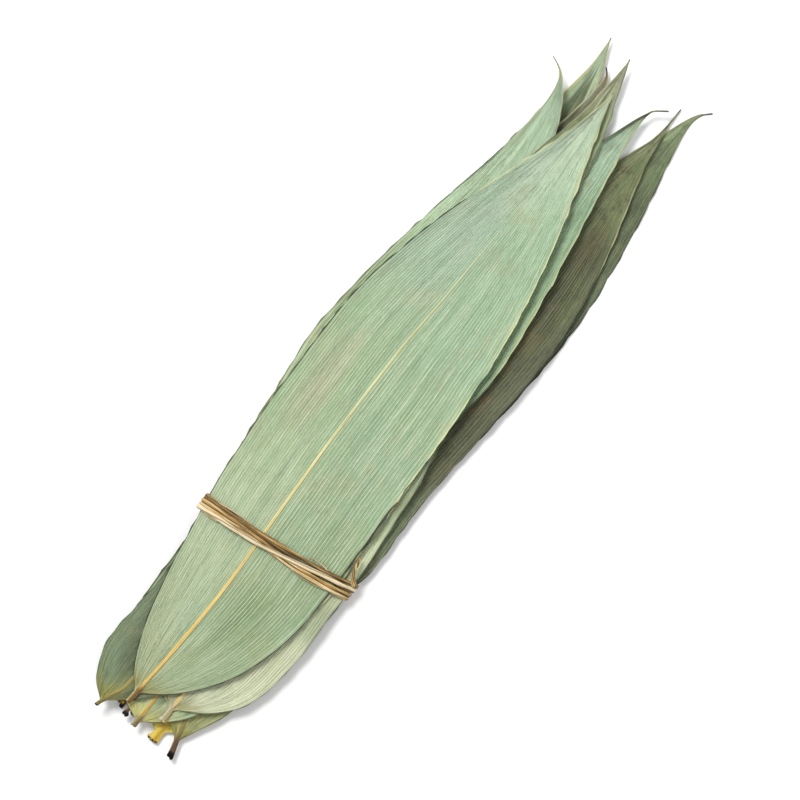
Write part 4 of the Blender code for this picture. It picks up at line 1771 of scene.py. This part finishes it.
DARK_GREEN = LeafFinish(
    left=(
        (0.0, (98, 108, 78)), (0.3, (80, 92, 66)), (0.5, (90, 102, 74)), (0.84, (68, 78, 46)),
        (0.91, (134, 152, 106)), (1.0, (200, 222, 176)),
    ),
    right=(
        (0.0, (98, 108, 78)), (0.3, (80, 92, 66)), (0.5, (94, 106, 78)), (0.84, (70, 80, 48)),
        (0.91, (136, 154, 108)), (1.0, (202, 224, 178)),
    ),
    vein=(144, 158, 120),
    streak=(66, 80, 54),
    rib_tip=(136, 152, 110),
    cool=(104, 126, 100),
    gloom=(84, 76, 64),
    mottled=0.5,
    pale_left=(0.95, 1.0),
    pale_right=(0.95, 1.0),
    margin=(168, 172, 128),
    tip=(128, 124, 106),
    tip_dark=(84, 80, 78),
    tip_reach=9.0,
)

LEAVES = (
    LeafPlan(
        "leaf_lowest_dark", "leaf_dark_green", DARK_GREEN, seed=1, petiole=6,
        spine=(
            (-11, 0), (40, 4), (110, 10), (220, 19), (345, 33), (413, 41), (431, 42.5), (438, 44.5),
            (443, 49),
        ),
        left=Half(35, widest=0.44, fullness=2.2, waist=0.2),
        right=Half(42, widest=0.44, fullness=3.2, sharpness=1.9),
        stalk=Stalk(joint=1.1, end=1.2),
    ),
    LeafPlan(
        "leaf_inner_left", "leaf_olive", OLIVE, seed=2, petiole=6,
        spine=((-12, -3), (0, -1), (110, 4), (250, 3), (392, -3)),
        left=Half(30, waist=0.25),
        right=Half(40),
        rows=70,
        stalk=Stalk(joint=1.1, end=1.1, trim=3.0),
    ),
    LeafPlan(
        "leaf_inner_right", "leaf_olive", OLIVE, seed=3, petiole=5,
        spine=((-14, 25), (0, 25), (110, 18), (250, 14), (388, 8)),
        left=Half(40, roundness=14.0),
        right=Half(31, roundness=9.0, waist=0.3),
        rows=90,
        stalk=Stalk(joint=2.8, end=3.0, thickness=1.3, ragged=0.6),
    ),
    LeafPlan(
        "leaf_right_brown", "leaf_brown_olive", BROWN_OLIVE, seed=4, petiole=6,
        spine=((-14, 8), (110, 12), (220, 17), (320, 25), (391, 32), (403, 33.2), (414, 34.4), (434, 34.2)),
        left=Half(40, fullness=4.0, sharpness=2.6),
        right=Half(44, fullness=4.0, sharpness=2.6, swell=0.085),
        stalk=Stalk(joint=1.2, end=1.2, trim=4.0),
        lifts=(Lift(Side.RIGHT, 0.5, 0.98, height=1.6, reach=8.0),),
    ),
    LeafPlan(
        "leaf_crossing_green", "leaf_sage", CROSSING, seed=5, petiole=8,
        spine=((-15, 38), (10, 31), (110, 20), (300, -2), (419, -15), (440, -20)),
        left=Half(41),
        right=Half(39, roundness=4.0),
        stalk=Stalk(joint=1.6, end=1.9, thickness=1.6, ragged=0.5),
        lifts=(Lift(Side.RIGHT, 0.85, 1.0, height=2.0, reach=6.0),),
    ),
    LeafPlan(
        "leaf_left_olive", "leaf_olive", DARK_OLIVE, seed=6, petiole=6,
        spine=(
            (-12, 4), (110, 7), (220, 5), (330, 2), (390, -3), (405, -5), (414, -6.5), (422, -8.5),
            (426, -12),
        ),
        left=Half(44, waist=0.42),
        right=Half(42),
        stalk=Stalk(joint=1.2, end=1.3, ragged=0.5),
    ),
    LeafPlan(
        "leaf_right_green", "leaf_bright_green", BRIGHT_GREEN, seed=7, petiole=4.5,
        spine=((-15, 12), (110, 10), (220, 8), (320, 11), (391, 17), (413, 19.5), (422, 22), (428, 29)),
        left=Half(40, fullness=2.1, roundness=9.0, sharpness=1.3, bluntness=0.75),
        right=Half(
            43, fullness=2.4, roundness=6.0, waist=0.1, swell=-0.11, swell_place=0.5, swell_length=0.085,
            sharpness=1.5, bluntness=0.85,
        ),
        stalk=Stalk(joint=1.6, end=1.5, thickness=1.2, trim=1.2),
        rolls=(Roll(Side.LEFT, 0.84, 1.03, width=2.8, angle=170.0),),
        lifts=(Lift(Side.RIGHT, 0.35, 0.98, height=1.8, reach=8.0),),
    ),
    LeafPlan(
        "leaf_crossing_pale", "leaf_pale", PALE, seed=8, petiole=9,
        spine=(
            (-3, 22.5), (15, 22), (75, 19), (220, 4), (300, -6), (378, -18), (395, -22.5), (404, -26.5),
            (409, -31), (412, -38),
        ),
        left=Half(51.8, widest=0.49, fullness=1.5, roundness=12.0, waist=0.15, sharpness=1.25),
        right=Half(43, widest=0.4, roundness=8.0, waist=0.06),
        stalk=Stalk(end=1.5, thickness=1.2, ragged=0.3, trim=1.2),
        rolls=(Roll(Side.LEFT, 0.72, 0.9, width=1.5, angle=130.0),),
        lifts=(Lift(Side.RIGHT, 0.78, 0.99, height=3.2), Lift(Side.LEFT, 0.45, 0.75, height=0.8)),
    ),
    LeafPlan(
        "leaf_left_yellow", "leaf_yellow_green", YELLOW_GREEN, seed=9, petiole=3,
        spine=(
            (-17, -11), (-8, -8), (0, -5), (40, -3), (110, -1), (230, -2), (345, 1), (395, 0.7), (403, 0.1),
            (411, -1.5), (422, -2.6), (437, -4.5),
        ),
        left=Half(37, roundness=10.0, waist=0.34, sharpness=1.22, bluntness=0.9),
        right=Half(52.5, widest=0.3, fullness=1.6, roundness=2.2, sharpness=1.02),
        stalk=Stalk(joint=1.2, end=1.0, thickness=1.2),
        rolls=(Roll(Side.RIGHT, 0.27, 0.42, width=1.7),),
        lifts=(
            Lift(Side.RIGHT, 0.26, 0.5, height=1.2, reach=6.0),
            Lift(Side.LEFT, 0.88, 1.0, height=1.6, reach=6.0),
        ),
    ),
    LeafPlan(
        "leaf_top", "leaf_sage", SAGE, seed=10, petiole=7,
        spine=((-5, 1.5), (15, 2.5), (60, 4), (140, 0), (220, -3), (325, -1), (417, 0)),
        left=Half(39.5, widest=0.55, fullness=2.0, roundness=3.4, sharpness=1.6, bluntness=0.68),
        right=Half(48.5, widest=0.46, fullness=2.0, roundness=4.8, bluntness=0.82),
        rows=170,
        stalk=Stalk(joint=1.6, end=1.3, thickness=1.3, ragged=0.3),
        lifts=(
            Lift(Side.RIGHT, 0.55, 1.0, height=2.2, reach=10.0), Lift(Side.RIGHT, 0.3, 0.6, height=1.5),
            Lift(Side.RIGHT, 0.0, 0.2, height=1.0), Lift(Side.LEFT, 0.5, 0.98, height=1.8),
            Lift(Side.LEFT, 0.0, 0.22, height=1.6, reach=7.0),
        ),
    ),
)


def plain(bounds: tuple) -> list:
    """Turns a box into plain lists of numbers."""
    return [[float(value) for value in corner] for corner in bounds]


def main() -> None:
    """Builds the bundle and the studio."""
    logging.basicConfig(level=logging.INFO, format="%(message)s")
    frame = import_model()
    place = RestingPlace()
    leaves = []
    for plan in LEAVES:
        leaf = BambooLeaf(plan, frame["nodes"][plan.node])
        leaf.settle(place)
        leaves.append(leaf)
    ceiling = RestingPlace(-OPEN_ABOVE)
    for leaf in reversed(leaves):
        leaf.rise_free(ceiling)
    for leaf in leaves:
        piece = leaf.build()
        leaf.dress(piece)
        LOG.info("%s: %d faces", piece.name, len(piece.data.polygons))
    foot = leaves[-1].foot
    tie = RushTie(leaves, *foot)
    pieces = tie.build()
    tie.dress(pieces)
    LOG.info("straw tie: %d pieces, measured from %.2f, %.2f mm", len(pieces), *foot)
    Studio((foot[0] * MM, foot[1] * MM)).build()


if __name__ == "__main__":
    main()
